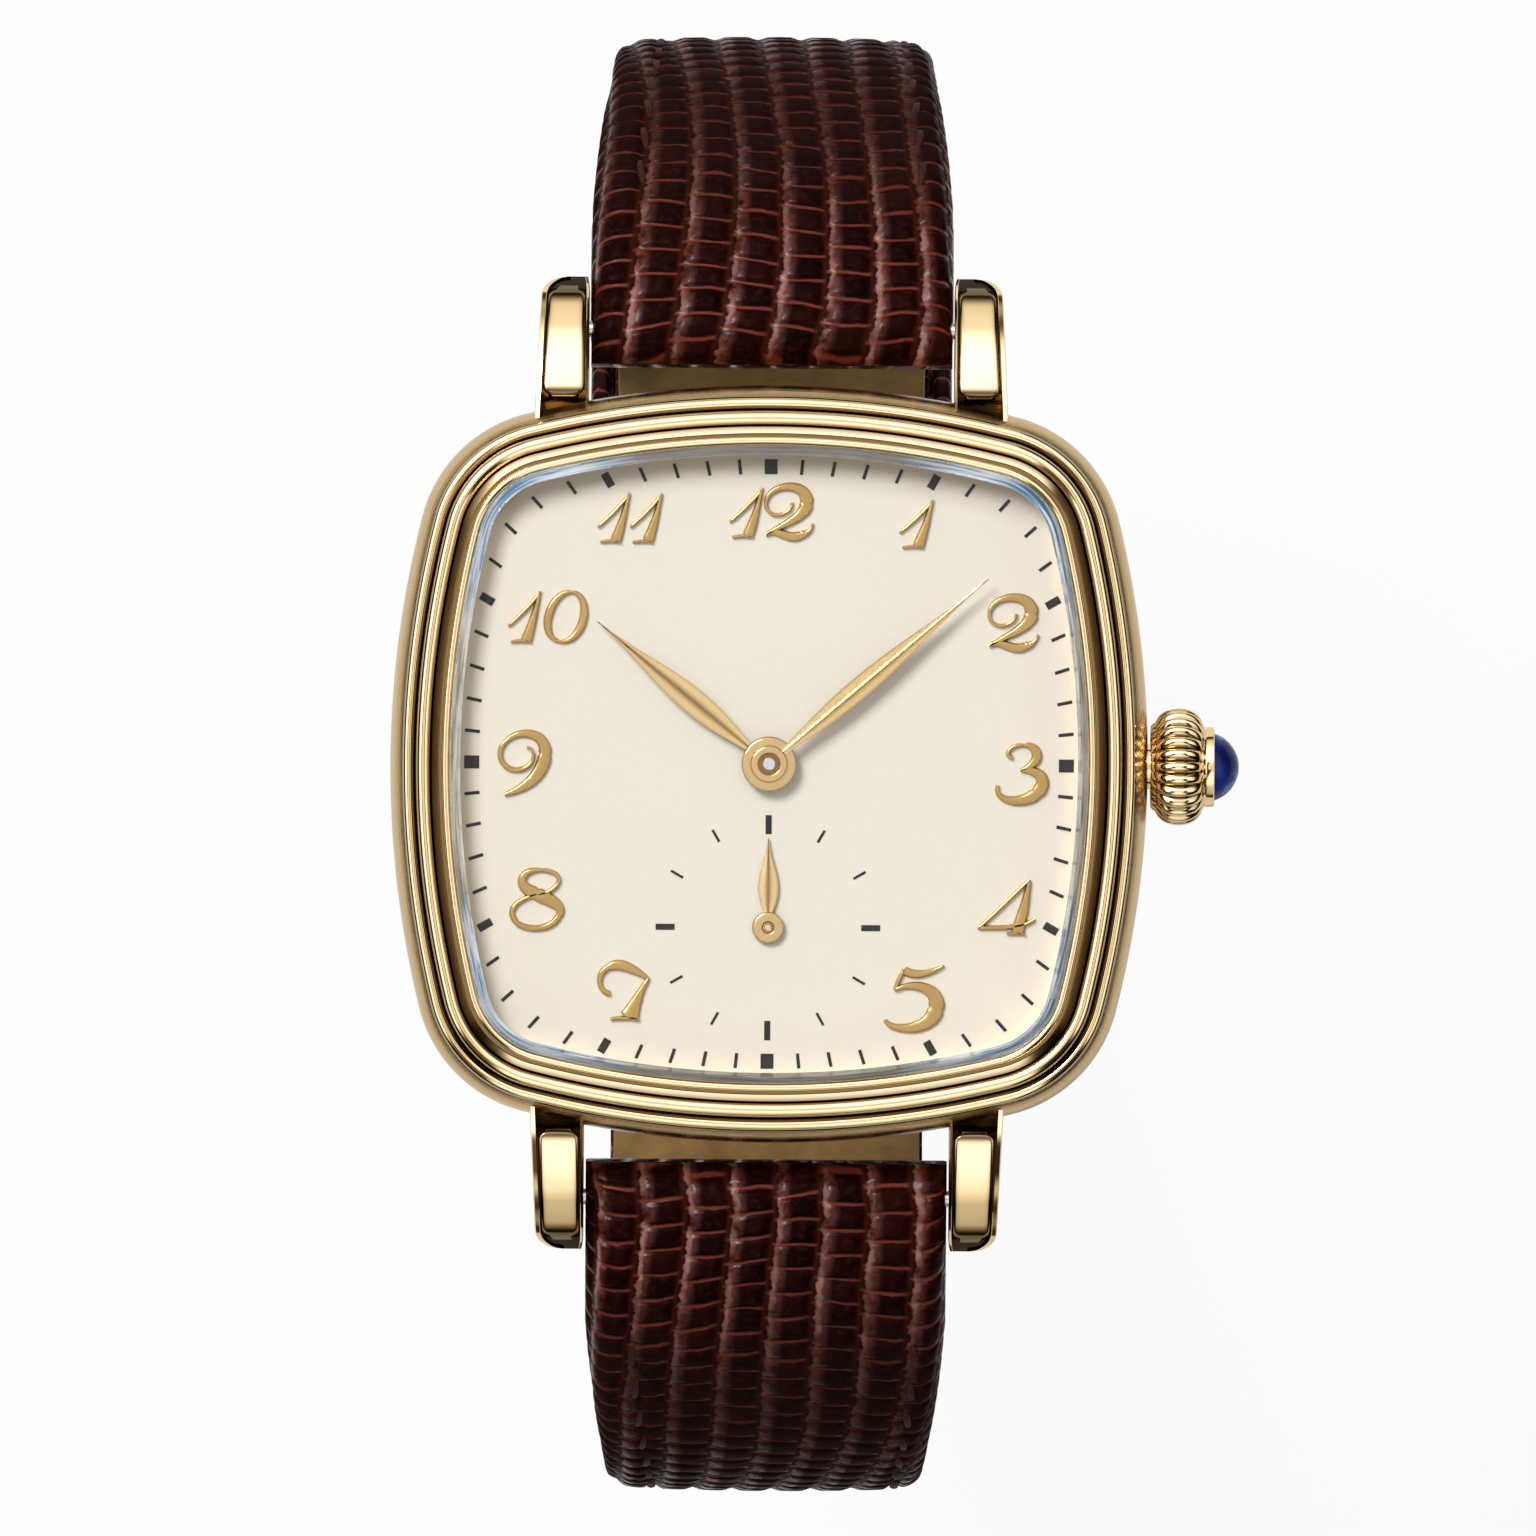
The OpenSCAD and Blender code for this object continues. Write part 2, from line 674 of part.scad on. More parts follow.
eight = [
  [[0.59, 0.98], [0.2, 1], [0.06, 0.72], [0.5, 0.58], 0.06, 0.14, 0.22],
  [[0.5, 0.58], [0.84, 0.47], [1.04, 0.36], [0.92, 0.22], 0.22, 0.2, 0.12],
  [[0.92, 0.22], [0.78, -0.04], [0.3, -0.02], [0.14, 0.1], 0.12, 0.08, 0.1],
  [[0.14, 0.1], [-0.06, 0.3], [0.06, 0.46], [0.5, 0.58], 0.1, 0.1, 0.05],
  [[0.55, 0.57], [1, 0.66], [1.08, 0.96], [0.59, 0.98], 0.05, 0.1, 0.06]
];
nine = [
  [[0.56, 0.77], [0.78, 0.74], [0.7, 0.4], [0.34, 0.41], 0.04, 0.07, 0.08],
  [[0.34, 0.41], [0.08, 0.42], [-0.04, 0.7], [0.16, 0.86], 0.08, 0.1, 0.08],
  [[0.16, 0.86], [0.4, 1.08], [0.94, 1.02], [0.9, 0.66], 0.08, 0.1, 0.24],
  [[0.9, 0.66], [0.86, 0.34], [0.56, 0.12], [0.14, 0.02], 0.24, 0.22, 0.05]
];
zero = [
  [[0.62, 0.98], [0.18, 1], [-0.1, 0.1], [0.4, 0.03], 0.05, 0.26, 0.05],
  [[0.4, 0.03], [0.86, 0], [1.08, 0.9], [0.62, 0.98], 0.05, 0.26, 0.05]
];

// Each numeral is [centre, widths of its digits, height factor, digits]
numerals = [
  [[0.04, 12.4], [1.67, 2.5], 0.96, [one, two]],
  [[7.2, 11.9], [1.67], 0.93, [one]],
  [[11.98, 7], [2.55], 0.98, [two]],
  [[12.42, -0.35], [2.58], 1.1, [three]],
  [[11.8, -7], [2.94], 1.07, [four]],
  [[7.2, -11.45], [3], 1.2, [five]],
  [[-7.1, -11.3], [2.62], 1.09, [seven]],
  [[-11.45, -6.75], [2.6], 1.15, [eight]],
  [[-12.12, -0.1], [2.62], 1.2, [nine]],
  [[-10.9, 7.2], [1.6, 2.45], 1, [one, zero]],
  [[-6.95, 12.1], [1.6, 1.6], 0.95, [one, one]]
];

// Left edge of the digit number i, when the digits stand centred side by side
function digit_left(widths, i) =
  i == 0 ? -total(widths) / 2 : digit_left(widths, i - 1) + widths[i - 1];
function total(list, i = 0) = i == len(list) ? 0 : list[i] + total(list, i + 1);

module hour_numerals() {
  color(gold)
    for (n = numerals)
      for (i = [0:len(n[3]) - 1])
        translate([n[0][0] + digit_left(n[1], i), n[0][1] - numeral_height * n[2] / 2, z_dial_top])
          linear_extrude(numeral_thickness)
            scale([n[1][i], numeral_height * n[2]])
              for (s = n[3][i])
                polygon(stroke_points(s));
}

// Crown, cabochon, tube, gasket and stem
crown_radius = crown_diameter / 2;
crown_outline = concat(
  [[0, 0], [1.95, 0], [2.05, 0.35]],
  [for (i = [0:6])
    let (a = -50 + 120 * i / 6)
    [crown_radius - 1.25 + 1.25 * cos(a), 1.45 + 1.2 * sin(a)]],
  [[1.95, crown_length - 0.05], [1.95, crown_length], [1.95, crown_length + ring_thickness],
    [cabochon_diameter / 2 + 0.12, crown_length + ring_thickness],
    [cabochon_diameter / 2 + 0.12, crown_length], [0, crown_length]]);
flute_radius = 0.2;

module along_x(start) {
  translate([start, 0, z_stem])
    rotate([0, 90, 0])
      children();
}

module crown() {
  color(gold)
    along_x(crown_foot)
      difference() {
        rotate_extrude($fn = 60)
          polygon(crown_outline);
        for (i = [0:crown_flutes - 1])
          rotate(360 * i / crown_flutes)
            translate([crown_radius + 0.05, 0, -1])
              cylinder(r = flute_radius, h = crown_length + 0.9, $fn = 16);
        drill(tube_radius + shaft_clearance, -1, 1 + 1.6, 48);
        up(0.5)
          cylinder(r = tube_radius + 0.35, h = 0.45, $fn = 48);
        up(1)
          cylinder(r = stem_radius, h = 1.3, $fn = 32);
      }
}

module crown_cabochon() {
  color(lapis)
    along_x(crown_tip)
      intersection() {
        up(ring_thickness + cabochon_rise - cabochon_sphere)
          sphere(r = cabochon_sphere, $fn = 48);
        cylinder(r = cabochon_diameter / 2, h = ring_thickness + cabochon_rise + 1, $fn = 48);
      }
}
cabochon_sphere = (pow(cabochon_diameter / 2, 2) + pow(cabochon_rise, 2)) / (2 * cabochon_rise);

module crown_gasket() {
  color(rubber_black)
    along_x(crown_foot + 0.52)
      difference() {
        cylinder(r = tube_radius + 0.33, h = 0.4, $fn = 48);
        drill(tube_radius + shaft_clearance, -1, 3, 48);
      }
}

module crown_tube() {
  color(gold)
    difference() {
      rod(tube_radius, case_width / 2 - band_wall + 0.1, tube_end, z_stem);
      rod(tube_bore, case_width / 2 - band_wall - 1, tube_end + 1, z_stem);
    }
}

stem_end = 6.4;
module winding_stem() {
  color(steel)
    difference() {
      union() {
        rod(stem_radius, stem_end + 0.5, crown_foot + 2.2, z_stem, 0, 32);
        rod(0.35, stem_end - 0.5, stem_end + 0.5, z_stem, 0, 32);
      }
      difference() {
        rod(stem_radius + 1, groove_start, groove_start + lever_groove, z_stem);
        rod(0.38, 0, 20, z_stem, 0, 32);
      }
    }
}

module winding_pinion() {
  color(steel)
    along_x(winding_x)
      difference() {
        linear_extrude(winding_length)
          polygon(gear_points(20, 0.18, 0.8, 1.1, 0.45));
        drill(stem_radius + shaft_clearance);
      }
}

module sliding_pinion() {
  color(steel)
    along_x(sliding_x)
      difference() {
        union() {
          linear_extrude(0.5)
            polygon(gear_points(16, 0.13, 0.8, 1.1, 0.45));
          cylinder(r = 0.85, h = sliding_length, $fn = 32);
          up(sliding_length - 0.4)
            cylinder(r = sliding_radius - 0.1, h = 0.4, $fn = 32);
        }
        drill(stem_radius + shaft_clearance);
      }
}

// Setting lever, whose pin rides in the stem's groove, and yoke, whose tip holds the sliding pinion
lever_pivot = [lever_groove_x, 2.4];
lever_plate = 0.3;
z_lever = z_plate_top + 0.1;
yoke_arm = 3.1;
yoke_x = sliding_x + 0.85;
yoke_pivot = [yoke_x, -1 - yoke_arm];

module setting_lever() {
  color(steel)
    difference() {
      union() {
        up(z_lever)
          linear_extrude(lever_plate)
            polygon([[lever_pivot[0] - 0.7, lever_pivot[1] + 0.5],
              [lever_pivot[0] + 0.6, lever_pivot[1] + 0.6],
              [lever_pivot[0] + 0.6, lever_pivot[1] - 0.6],
              [lever_groove_x + 0.35, -0.4], [lever_groove_x - 0.35, -0.4],
              [lever_pivot[0] - 0.6, lever_pivot[1] - 0.6]]);
        disc([lever_groove_x, 0], 0.22, z_stem + 0.46, z_lever + 0.1, 24);
      }
      bore(lever_pivot, 0.3 + shaft_clearance);
    }
}

module yoke() {
  color(steel)
    difference() {
      union() {
        up(z_lever)
          linear_extrude(lever_plate)
            polygon([[yoke_x - 0.5, yoke_pivot[1] - 0.6], [yoke_x + 0.6, yoke_pivot[1] - 0.5],
              [yoke_x + 0.3, -1.55], [yoke_x - 0.2, -1.55]]);
        translate([yoke_x - 0.17, -1.75, z_stem - 0.3])
          cube([0.34, 0.3, z_lever + 0.1 - z_stem + 0.3]);
        translate([yoke_x - 0.17, -1.6, z_stem - 0.3])
          cube([0.34, 0.65, 0.6]);
      }
      bore(yoke_pivot, 0.3 + shaft_clearance);
    }
}

module setting_wheel() {
  color(steel)
    pinion(spot_setting, setting_teeth, motion_module, z_motion, z_motion + 0.3,
      0.3 + shaft_clearance + 0.03,
      meshed(setting_teeth, spot_minute_wheel, spot_setting));
}

// Mainplate, with its recesses, posts and the block that carries the stem
plate_screws = [[-1.5, 12.2], [12.15, 3.2], [-6.8, 10.6], [11.2, -6.2], [3.4, -12.2], [-5.2, -11.6]];
cock_screw = [-10.9, 5.6];
pallet_feet = [for (d = [-1, 1]) spot_pallet + polar(2.45 * d, lever_angle - 90)];
barrel_radius = barrel_distance * wheel_teeth / (wheel_teeth + pinion_leaves);
barrel_module = 2 * barrel_radius / wheel_teeth;
barrel_top = z_barrel_teeth + barrel_height;

module mainplate() {
  color(rhodium)
    difference() {
      union() {
        disc([0, 0], movement_radius, z_plate, z_plate_top, 96);
        disc([0, 0], flange_radius, z_plate_top - flange_height, z_plate_top, 96);
        translate([stem_block, -1.2, z_stem - 1])
          cube([movement_radius - 0.5 - stem_block, 2.4, z_plate - z_stem + 1.2]);
        translate([stem_end - 0.45, -0.65, z_stem - 0.75])
          cube([0.5, 1.3, z_plate - z_stem + 0.85]);
        disc(lever_pivot, 0.3, z_plate_top - 0.2, z_lever + lever_plate + 0.05, 32);
        disc(yoke_pivot, 0.3, z_plate_top - 0.2, z_lever + lever_plate + 0.05, 32);
        disc(spot_setting, 0.3, z_plate_top - 0.2, z_motion + 0.45, 32);
        disc(spot_minute_wheel, 0.25, z_plate_top - 0.2, z_dial - 0.15, 32);
      }
      disc(spot_barrel, barrel_radius + 0.25, z_plate - 2, barrel_top + pass_clearance, 72);
      bore(spot_barrel, 0.6 + shaft_clearance);
      bore(spot_center, 0.42 + shaft_clearance);
      for (spot = [spot_third, spot_escape, spot_pallet, spot_balance, spot_fourth])
        bore(spot, jewel_radius + set_clearance);
      for (spot = feet)
        bore(spot, foot_radius + shaft_clearance, 24);
      translate([winding_x - 0.15, -2.05, z_plate - 2])
        cube([winding_length + 0.3, 4.1, plate_thickness + 4]);
      translate([sliding_x - sliding_travel - 0.15, -1.95, z_plate - 2])
        cube([sliding_length + sliding_travel + 0.45, 3.4, plate_thickness + 4]);
      translate([lever_groove_x - 0.6, -0.5, z_stem + 0.2])
        cube([lever_groove + crown_travel + 0.6, 1.2, plate_thickness + 2]);
      rod(stem_radius + shaft_clearance, sliding_x, 16, z_stem, 0, 32);
      rod(0.35 + shaft_clearance, 4.8, sliding_x + 1, z_stem, 0, 32);
    }
}
stem_block = winding_x + winding_length + 0.2;
jewel_radius = 0.55;

// Bridges: plates that stand on rim feet, cut to their outlines
bridge_radius = movement_radius - 0.1;
foot_ring = 12.75;
barrel_bridge_plan = [
  [-3.9, 14], [-3.9, 2.3], [-1.3, 1.35], [2.9, 1.35], [4.1, -3], [14, -4.9], [14, 14]
];
train_bridge_plan = [
  [-2.7, 1.2], [2.7, 1.2], [3.95, -3.15], [14, -5.05], [14, -14], [-7.6, -14],
  [-5.4, -9.6], [-4.75, -7.2], [-4.6, -5.6], [-3.6, -3.6]
];

module bridge(plan) {
  difference() {
    union() {
      up(z_bridge)
        linear_extrude(bridge_thickness)
          intersection() {
            circle(r = bridge_radius, $fn = 96);
            polygon(plan);
          }
      up(z_train - 0.1)
        linear_extrude(train_height + 0.1)
          intersection() {
            difference() {
              circle(r = bridge_radius, $fn = 96);
              circle(r = foot_ring, $fn = 96);
            }
            polygon(plan);
          }
    }
    for (spot = plate_screws)
      disc(spot, bridge_screw_head + 0.04, z_bridge - 1, z_bridge + 0.35, 24);
  }
}
bridge_screw_head = 0.65;
bridge_screw_shank = 0.35;

module barrel_bridge() {
  color(rhodium)
    difference() {
      bridge(barrel_bridge_plan);
      bore(spot_barrel, 0.85 + shaft_clearance, 48);
      for (spot = [plate_screws[0], plate_screws[1], plate_screws[2]])
        bore(spot, bridge_screw_shank + set_clearance, 24);
      translate([winding_x - 0.15, -1.75, z_bridge - 1])
        cube([winding_length + 0.3, 3.5, 6]);
      translate([12, -1.4, z_stem - 1.1])
        cube([3, 2.8, 3]);
      bore(spot_crown_wheel, 0.5);
    }
}

module train_bridge() {
  color(rhodium)
    difference() {
      bridge(train_bridge_plan);
      for (spot = [spot_center, spot_third, spot_fourth, spot_escape])
        bore(spot, jewel_radius + set_clearance);
      for (spot = [plate_screws[3], plate_screws[4], plate_screws[5]])
        bore(spot, bridge_screw_shank + set_clearance, 24);
    }
}

cock_plan = [
  [-13.5, 4.0], [-12.2, 7.6], [-8.2, 8.2], [-7.2, 5.2],
  [spot_balance[0] + 1.0, spot_balance[1] + 0.6], [spot_balance[0] + 0.9, spot_balance[1] - 0.9],
  [spot_balance[0] - 0.9, spot_balance[1] - 0.9], [spot_balance[0] - 1.1, spot_balance[1] + 0.8],
  [-11.4, 3.2]
];

module balance_cock() {
  color(rhodium)
    difference() {
      union() {
        up(z_bridge)
          linear_extrude(bridge_thickness)
            intersection() {
              circle(r = bridge_radius, $fn = 96);
              union() {
                polygon(cock_plan);
                translate(spot_balance)
                  circle(r = 1.35, $fn = 48);
              }
            }
        up(z_train - 0.1)
          linear_extrude(train_height + 0.1)
            intersection() {
              circle(r = bridge_radius, $fn = 96);
              polygon([[-14, 4.2], [-12.2, 7.6], [-8.4, 8.0], [-8.9, 4.7]]);
            }
      }
      bore(spot_balance, jewel_radius + set_clearance);
      disc(cock_screw, bridge_screw_head + 0.04, z_bridge - 1, z_bridge + 0.35, 24);
      bore(cock_screw, bridge_screw_shank + set_clearance, 24);
    }
}

z_pallet_bridge = z_escape_wheel - 0.32;
pallet_bridge_thickness = 0.22;

module pallet_bridge() {
  color(rhodium)
    difference() {
      union() {
        at(spot_pallet, z_pallet_bridge)
          rotate(lever_angle)
            translate([-0.55, -3, 0])
              cube([1.1, 6, pallet_bridge_thickness]);
        for (spot = pallet_feet)
          disc(spot, 0.45, z_pallet_bridge, z_plate, 32);
      }
      bore(spot_pallet, 0.2, 24);
    }
}

// Ruby bearings in the bridges and in the mainplate
module jewel(spot, low, high, hole) {
  washer(spot, jewel_radius, hole, low, high, 32);
}

pivot_hole = pivot_radius + shaft_clearance;
module jewels() {
  color(ruby) {
    for (spot = [spot_third, spot_fourth, spot_escape, spot_balance])
      jewel(spot, z_bridge + 0.15, z_train, pivot_hole);
    jewel(spot_center, z_bridge + 0.15, z_train, 0.2 + shaft_clearance);
    for (spot = [spot_third, spot_escape, spot_pallet, spot_balance])
      jewel(spot, z_plate, z_plate_top - 0.35, pivot_hole);
    jewel(spot_fourth, z_plate, z_plate_top - 0.1, 0.22 + shaft_clearance);
  }
}

// Screws seen from the back, heads outwards: case back, bridges, cock and crown wheel
module screws() {
  color(steel) {
    at_corners()
      up(0.08)
        slotted_screw(screw_head, screw_head_height - 0.08, screw_radius, screw_length - 0.3, 0.25);
    for (spot = concat(plate_screws, [cock_screw]))
      at(spot, z_bridge + 0.05)
        rotate(40)
          slotted_screw(bridge_screw_head, 0.3, bridge_screw_shank, z_plate - z_bridge - 0.05, 0.16);
    at(spot_crown_wheel, z_crown_wheel - 0.02)
      rotate(20)
        slotted_screw(0.9, 0.16, 0.48, z_train - z_crown_wheel, 0.2);
    at(click_spot, z_ratchet - 0.13)
      slotted_screw(0.5, 0.1, click_hole - shaft_clearance, z_bridge - z_ratchet + 0.13, 0.14);
  }
}

// Barrel with its cover, arbor and mainspring
module barrel() {
  color(brass)
    at(spot_barrel, z_barrel_teeth)
      difference() {
        union() {
          rotate(way(spot_barrel, spot_center))
            linear_extrude(barrel_teeth_height)
              polygon(gear_points(wheel_teeth, barrel_module, 0.85, 1.15, 0.44));
          cylinder(r = barrel_radius - 0.4, h = barrel_height, $fn = 72);
        }
        drill(barrel_radius - 0.75, 0.25, barrel_height, 72);
        drill(0.85 + shaft_clearance, -1, 3, 48);
      }
}

module barrel_cover() {
  color(brass)
    washer(spot_barrel, barrel_radius - 0.75 - set_clearance, 0.6 + shaft_clearance,
      barrel_top - 0.25, barrel_top, 72);
}

module barrel_arbor() {
  color(steel) {
    disc(spot_barrel, 0.85, z_bridge - 0.02, z_barrel_teeth + 0.35, 48);
    disc(spot_barrel, 1.2, z_barrel_teeth + 0.25 + 0.05, barrel_top - 0.3, 48);
    disc(spot_barrel, 0.6, barrel_top - 0.3, z_plate_top - 0.05, 32);
    at(spot_barrel, z_ratchet - 0.13)
      rotate(65)
        slotted_screw(1, 0.12, 0.46, z_bridge - z_ratchet + 0.15, 0.25);
  }
}

// Flat coil: a strip that winds outwards from one radius to another
function coil_side(inner, outer, turns, start) =
  let (steps = ceil(turns * 18))
  [for (i = [0:steps]) polar(inner + (outer - inner) * i / steps, start + 360 * turns * i / steps)];
function coil_strip(inner, outer, turns, strip, start = 0) = concat(
  coil_side(inner + strip / 2, outer + strip / 2, turns, start),
  reversed(coil_side(inner - strip / 2, outer - strip / 2, turns, start)));

mainspring_turns = 5;
mainspring_strip = 0.12;
module mainspring() {
  color(steel)
    at(spot_barrel, z_barrel_teeth + 0.25 + 0.05)
      linear_extrude(barrel_height - 0.65)
        polygon(coil_strip(1.32, barrel_radius - 0.87, mainspring_turns, mainspring_strip));
}

z_ratchet = back_thickness + 0.1;
ratchet_thickness = wheel_cover_gap - 0.15;
z_crown_wheel = z_ratchet;

module ratchet_wheel() {
  color(steel)
    at(spot_barrel, z_ratchet)
      linear_extrude(ratchet_thickness)
        difference() {
          rotate(way(spot_barrel, spot_crown_wheel))
            polygon(gear_points(ratchet_teeth, ratchet_module, 0.8, 1.15, 0.42));
          circle(r = 0.5, $fn = 12);
        }
}

module crown_wheel() {
  color(steel)
    at(spot_crown_wheel, z_crown_wheel)
      linear_extrude(ratchet_thickness)
        difference() {
          rotate(meshed(crown_wheel_teeth, spot_barrel, spot_crown_wheel))
            polygon(gear_points(crown_wheel_teeth, ratchet_module, 0.8, 1.15, 0.42));
          circle(r = 0.98, $fn = 12);
        }
}

// Click and its spring, beside the ratchet wheel
click_angle = 152;
click_hole = 0.3;
click_spot = spot_barrel + polar(ratchet_radius + 1.15, click_angle);

module click() {
  color(steel)
    at(click_spot, z_ratchet)
      linear_extrude(ratchet_thickness)
        difference() {
          rotate(click_angle)
            polygon([[-0.35, 0.75], [0.45, 0.8], [0.75, 0], [0.4, -0.75],
              [-0.5, -1.6], [-1.26, -1.75], [-0.7, -0.9], [-0.62, 0]]);
          circle(r = click_hole, $fn = 32);
        }
}

module click_spring() {
  color(steel) {
    at(click_spot, z_ratchet)
      rotate(click_angle) {
        linear_extrude(ratchet_thickness - 0.05)
          polygon(concat(
            arc([0, 0], 1.15, -40, 60, 10),
            arc([0, 0], 1.03, 60, -40, 10)));
        disc(polar(1.09, 60), 0.22, 0, z_bridge - z_ratchet, 24);
      }
  }
}

// Train wheels with their arbors and pinions
center_module = 2 * third_distance / (wheel_teeth + pinion_leaves);
third_module = 2 * fourth_distance / (third_teeth + pinion_leaves);
fourth_module = 2 * escape_distance / (wheel_teeth + escape_leaves);
arbor_radius = 0.25;
arbor_hole = arbor_radius + 0.02;

module center_wheel() {
  color(brass)
    spoked_wheel(spot_center, wheel_teeth, center_module, z_center_wheel, 5, 1.1, 4.5, 0.5,
      arbor_hole + 0.06, way(spot_center, spot_third));
  color(steel) {
    pinion(spot_center, pinion_leaves, barrel_module, z_center_wheel + wheel_thickness,
      z_barrel_teeth + 0.5, arbor_hole + 0.06, meshed(pinion_leaves, spot_barrel, spot_center));
    disc(spot_center, arbor_radius + 0.05, z_train + 0.05, z_minute_hand + 0.1, 32);
    bridge_pivot(spot_center, 0.2);
    washer(spot_center, 0.42, arbor_radius + 0.07, z_barrel_teeth + 0.5, z_motion - 0.05, 32);
  }
}

module third_wheel() {
  color(brass)
    spoked_wheel(spot_third, third_teeth, third_module, z_third_wheel, 5, 0.9, 3.5, 0.4, arbor_hole,
      way(spot_third, spot_fourth));
  color(steel) {
    pinion(spot_third, pinion_leaves, center_module, z_train + 0.04,
      z_center_wheel + wheel_thickness + 0.15, arbor_hole,
      meshed(pinion_leaves, spot_center, spot_third));
    disc(spot_third, arbor_radius, z_train + 0.04, z_plate - 0.05, 32);
    bridge_pivot(spot_third);
    plate_pivot(spot_third);
  }
}

module fourth_wheel() {
  color(brass)
    spoked_wheel(spot_fourth, wheel_teeth, fourth_module, z_fourth_wheel, 5, 0.85, 3.1, 0.4, arbor_hole,
      way(spot_fourth, spot_escape));
  color(steel) {
    pinion(spot_fourth, pinion_leaves, third_module, z_third_wheel - 0.1, z_plate - 0.06,
      arbor_hole, meshed(pinion_leaves, spot_third, spot_fourth));
    disc(spot_fourth, arbor_radius, z_train + 0.05, z_plate - 0.06, 32);
    bridge_pivot(spot_fourth);
    disc(spot_fourth, 0.22, z_plate - 0.06, z_seconds_hand + 0.15, 24);
  }
}

// Points of the escape wheel's hooked teeth
escape_radius = 2.2;
function escape_points() = [
  for (i = [0:escape_teeth - 1])
    let (pitch = 360 / escape_teeth, a = i * pitch)
    each [
      polar(1.72, a - 7), polar(2.02, a - 1.5),
      polar(escape_radius, a + 1.8), polar(2.12, a + 5), polar(1.78, a + 5.5)
    ]
];

module escape_wheel() {
  color(steel) {
    at(spot_escape, z_escape_wheel)
      linear_extrude(wheel_thickness - 0.02)
        difference() {
          polygon(escape_points());
          for (i = [0:3])
            polygon(window_points(0.6, 1.5, 90 * i, 90 * (i + 1), 0.3));
          circle(r = arbor_hole, $fn = 12);
        }
    pinion(spot_escape, escape_leaves, fourth_module, z_fourth_wheel - 0.12,
      z_fourth_wheel + wheel_thickness + 0.12, 0.2, meshed(escape_leaves, spot_fourth, spot_escape));
    disc(spot_escape, 0.18, z_train + 0.05, z_escape_wheel - 0.1, 24);
    disc(spot_escape, arbor_radius, z_escape_wheel - 0.1, z_plate - 0.06, 32);
    bridge_pivot(spot_escape);
    plate_pivot(spot_escape);
  }
}

// Pallet fork: two arms with their stones towards the escape wheel and a lever towards the balance
function bar_points(from, to, width) =
  let (v = (to - from) / norm(to - from), n = [-v[1], v[0]] * width / 2)
  [from + n, to + n, to - n, from - n];
stone_angle = 30;
stone_gap = 0.16;

module pallet_fork() {
  low = z_escape_wheel;
  color(steel) {
    at(spot_pallet, low)
      rotate(lever_angle)
        linear_extrude(wheel_thickness - 0.02)
          difference() {
            union() {
              for (side = [-1, 1])
                polygon(bar_points([0.1, 0], [-0.5, side * 1.3], 0.34));
              polygon(bar_points([0, 0], [lever_length - 1.15, 0], 0.26));
              polygon(bar_points([lever_length - 1.3, -0.3], [lever_length - 1.3, 0.3], 0.16));
              for (side = [-1, 1])
                polygon(bar_points([lever_length - 1.3, side * 0.22],
                  [lever_length - 0.93, side * 0.26], 0.12));
            }
            circle(r = 0.2, $fn = 12);
          }
    disc(spot_pallet, 0.18, z_escape_wheel - 0.05, z_plate - 0.06, 24);
    disc(spot_pallet, pivot_radius, z_pallet_bridge, z_escape_wheel - 0.05, 24);
    plate_pivot(spot_pallet);
  }
  color(ruby)
    for (side = [-1, 1])
      at(spot_escape, low)
        rotate(lever_angle + side * stone_angle)
          translate([escape_radius + stone_gap, -0.11, 0])
            cube([0.36, 0.22, wheel_thickness - 0.02]);
}

// Balance with its staff, roller and impulse pin, and its flat spring
z_balance = z_train + 0.35;
balance_rim = 0.5;
balance_thickness = 0.35;
z_roller = z_balance + balance_thickness + 0.15;
balance_arms = 3;

module balance_wheel() {
  color(gold)
    at(spot_balance, z_balance)
      linear_extrude(balance_thickness)
        difference() {
          union() {
            difference() {
              circle(r = balance_radius, $fn = 96);
              circle(r = balance_radius - balance_rim, $fn = 96);
            }
            for (i = [0:balance_arms - 1])
              rotate(360 * i / balance_arms + 45)
                polygon(bar_points([0, 0], [balance_radius - 0.1, 0], 0.42));
            circle(r = 0.6, $fn = 32);
          }
          circle(r = 0.3, $fn = 32);
        }
  color(steel) {
    disc(spot_balance, 0.3 - 0.01, z_train + 0.05, z_plate - 0.06, 32);
    bridge_pivot(spot_balance);
    plate_pivot(spot_balance);
    washer(spot_balance, 0.85, 0.3, z_roller, z_roller + 0.15, 32);
  }
  color(ruby)
    at(spot_balance, 0)
      rotate(lever_angle + 180)
        translate([0.62, 0, z_roller + 0.15])
          cylinder(r = 0.1, h = 0.45, $fn = 16);
}

hairspring_inner = 0.62;
hairspring_outer = 2.7;
hairspring_strip = 0.05;
hairspring_gap = (hairspring_outer - hairspring_inner) / hairspring_turns - hairspring_strip;
echo("least gap between turns of the balance spring", hairspring_gap);
stud_angle = 75;

module balance_spring() {
  color(blued)
    at(spot_balance, z_train + 0.08)
      linear_extrude(0.15)
        polygon(coil_strip(hairspring_inner, hairspring_outer, hairspring_turns, hairspring_strip,
          stud_angle - 360 * hairspring_turns));
}

// Regulator: a pointer on the cock, and the stud that holds the spring's outer end
module regulator() {
  color(steel) {
    difference() {
      union() {
        disc(spot_balance, 1.15, z_bridge - 0.22, z_bridge - 0.02, 48);
        at(spot_balance, z_bridge - 0.22)
          rotate(108)
            linear_extrude(0.2)
              polygon([[0.9, -0.28], [3.3, -0.06], [3.3, 0.06], [0.9, 0.28]]);
      }
      bore(spot_balance, 0.45);
    }
  }
}

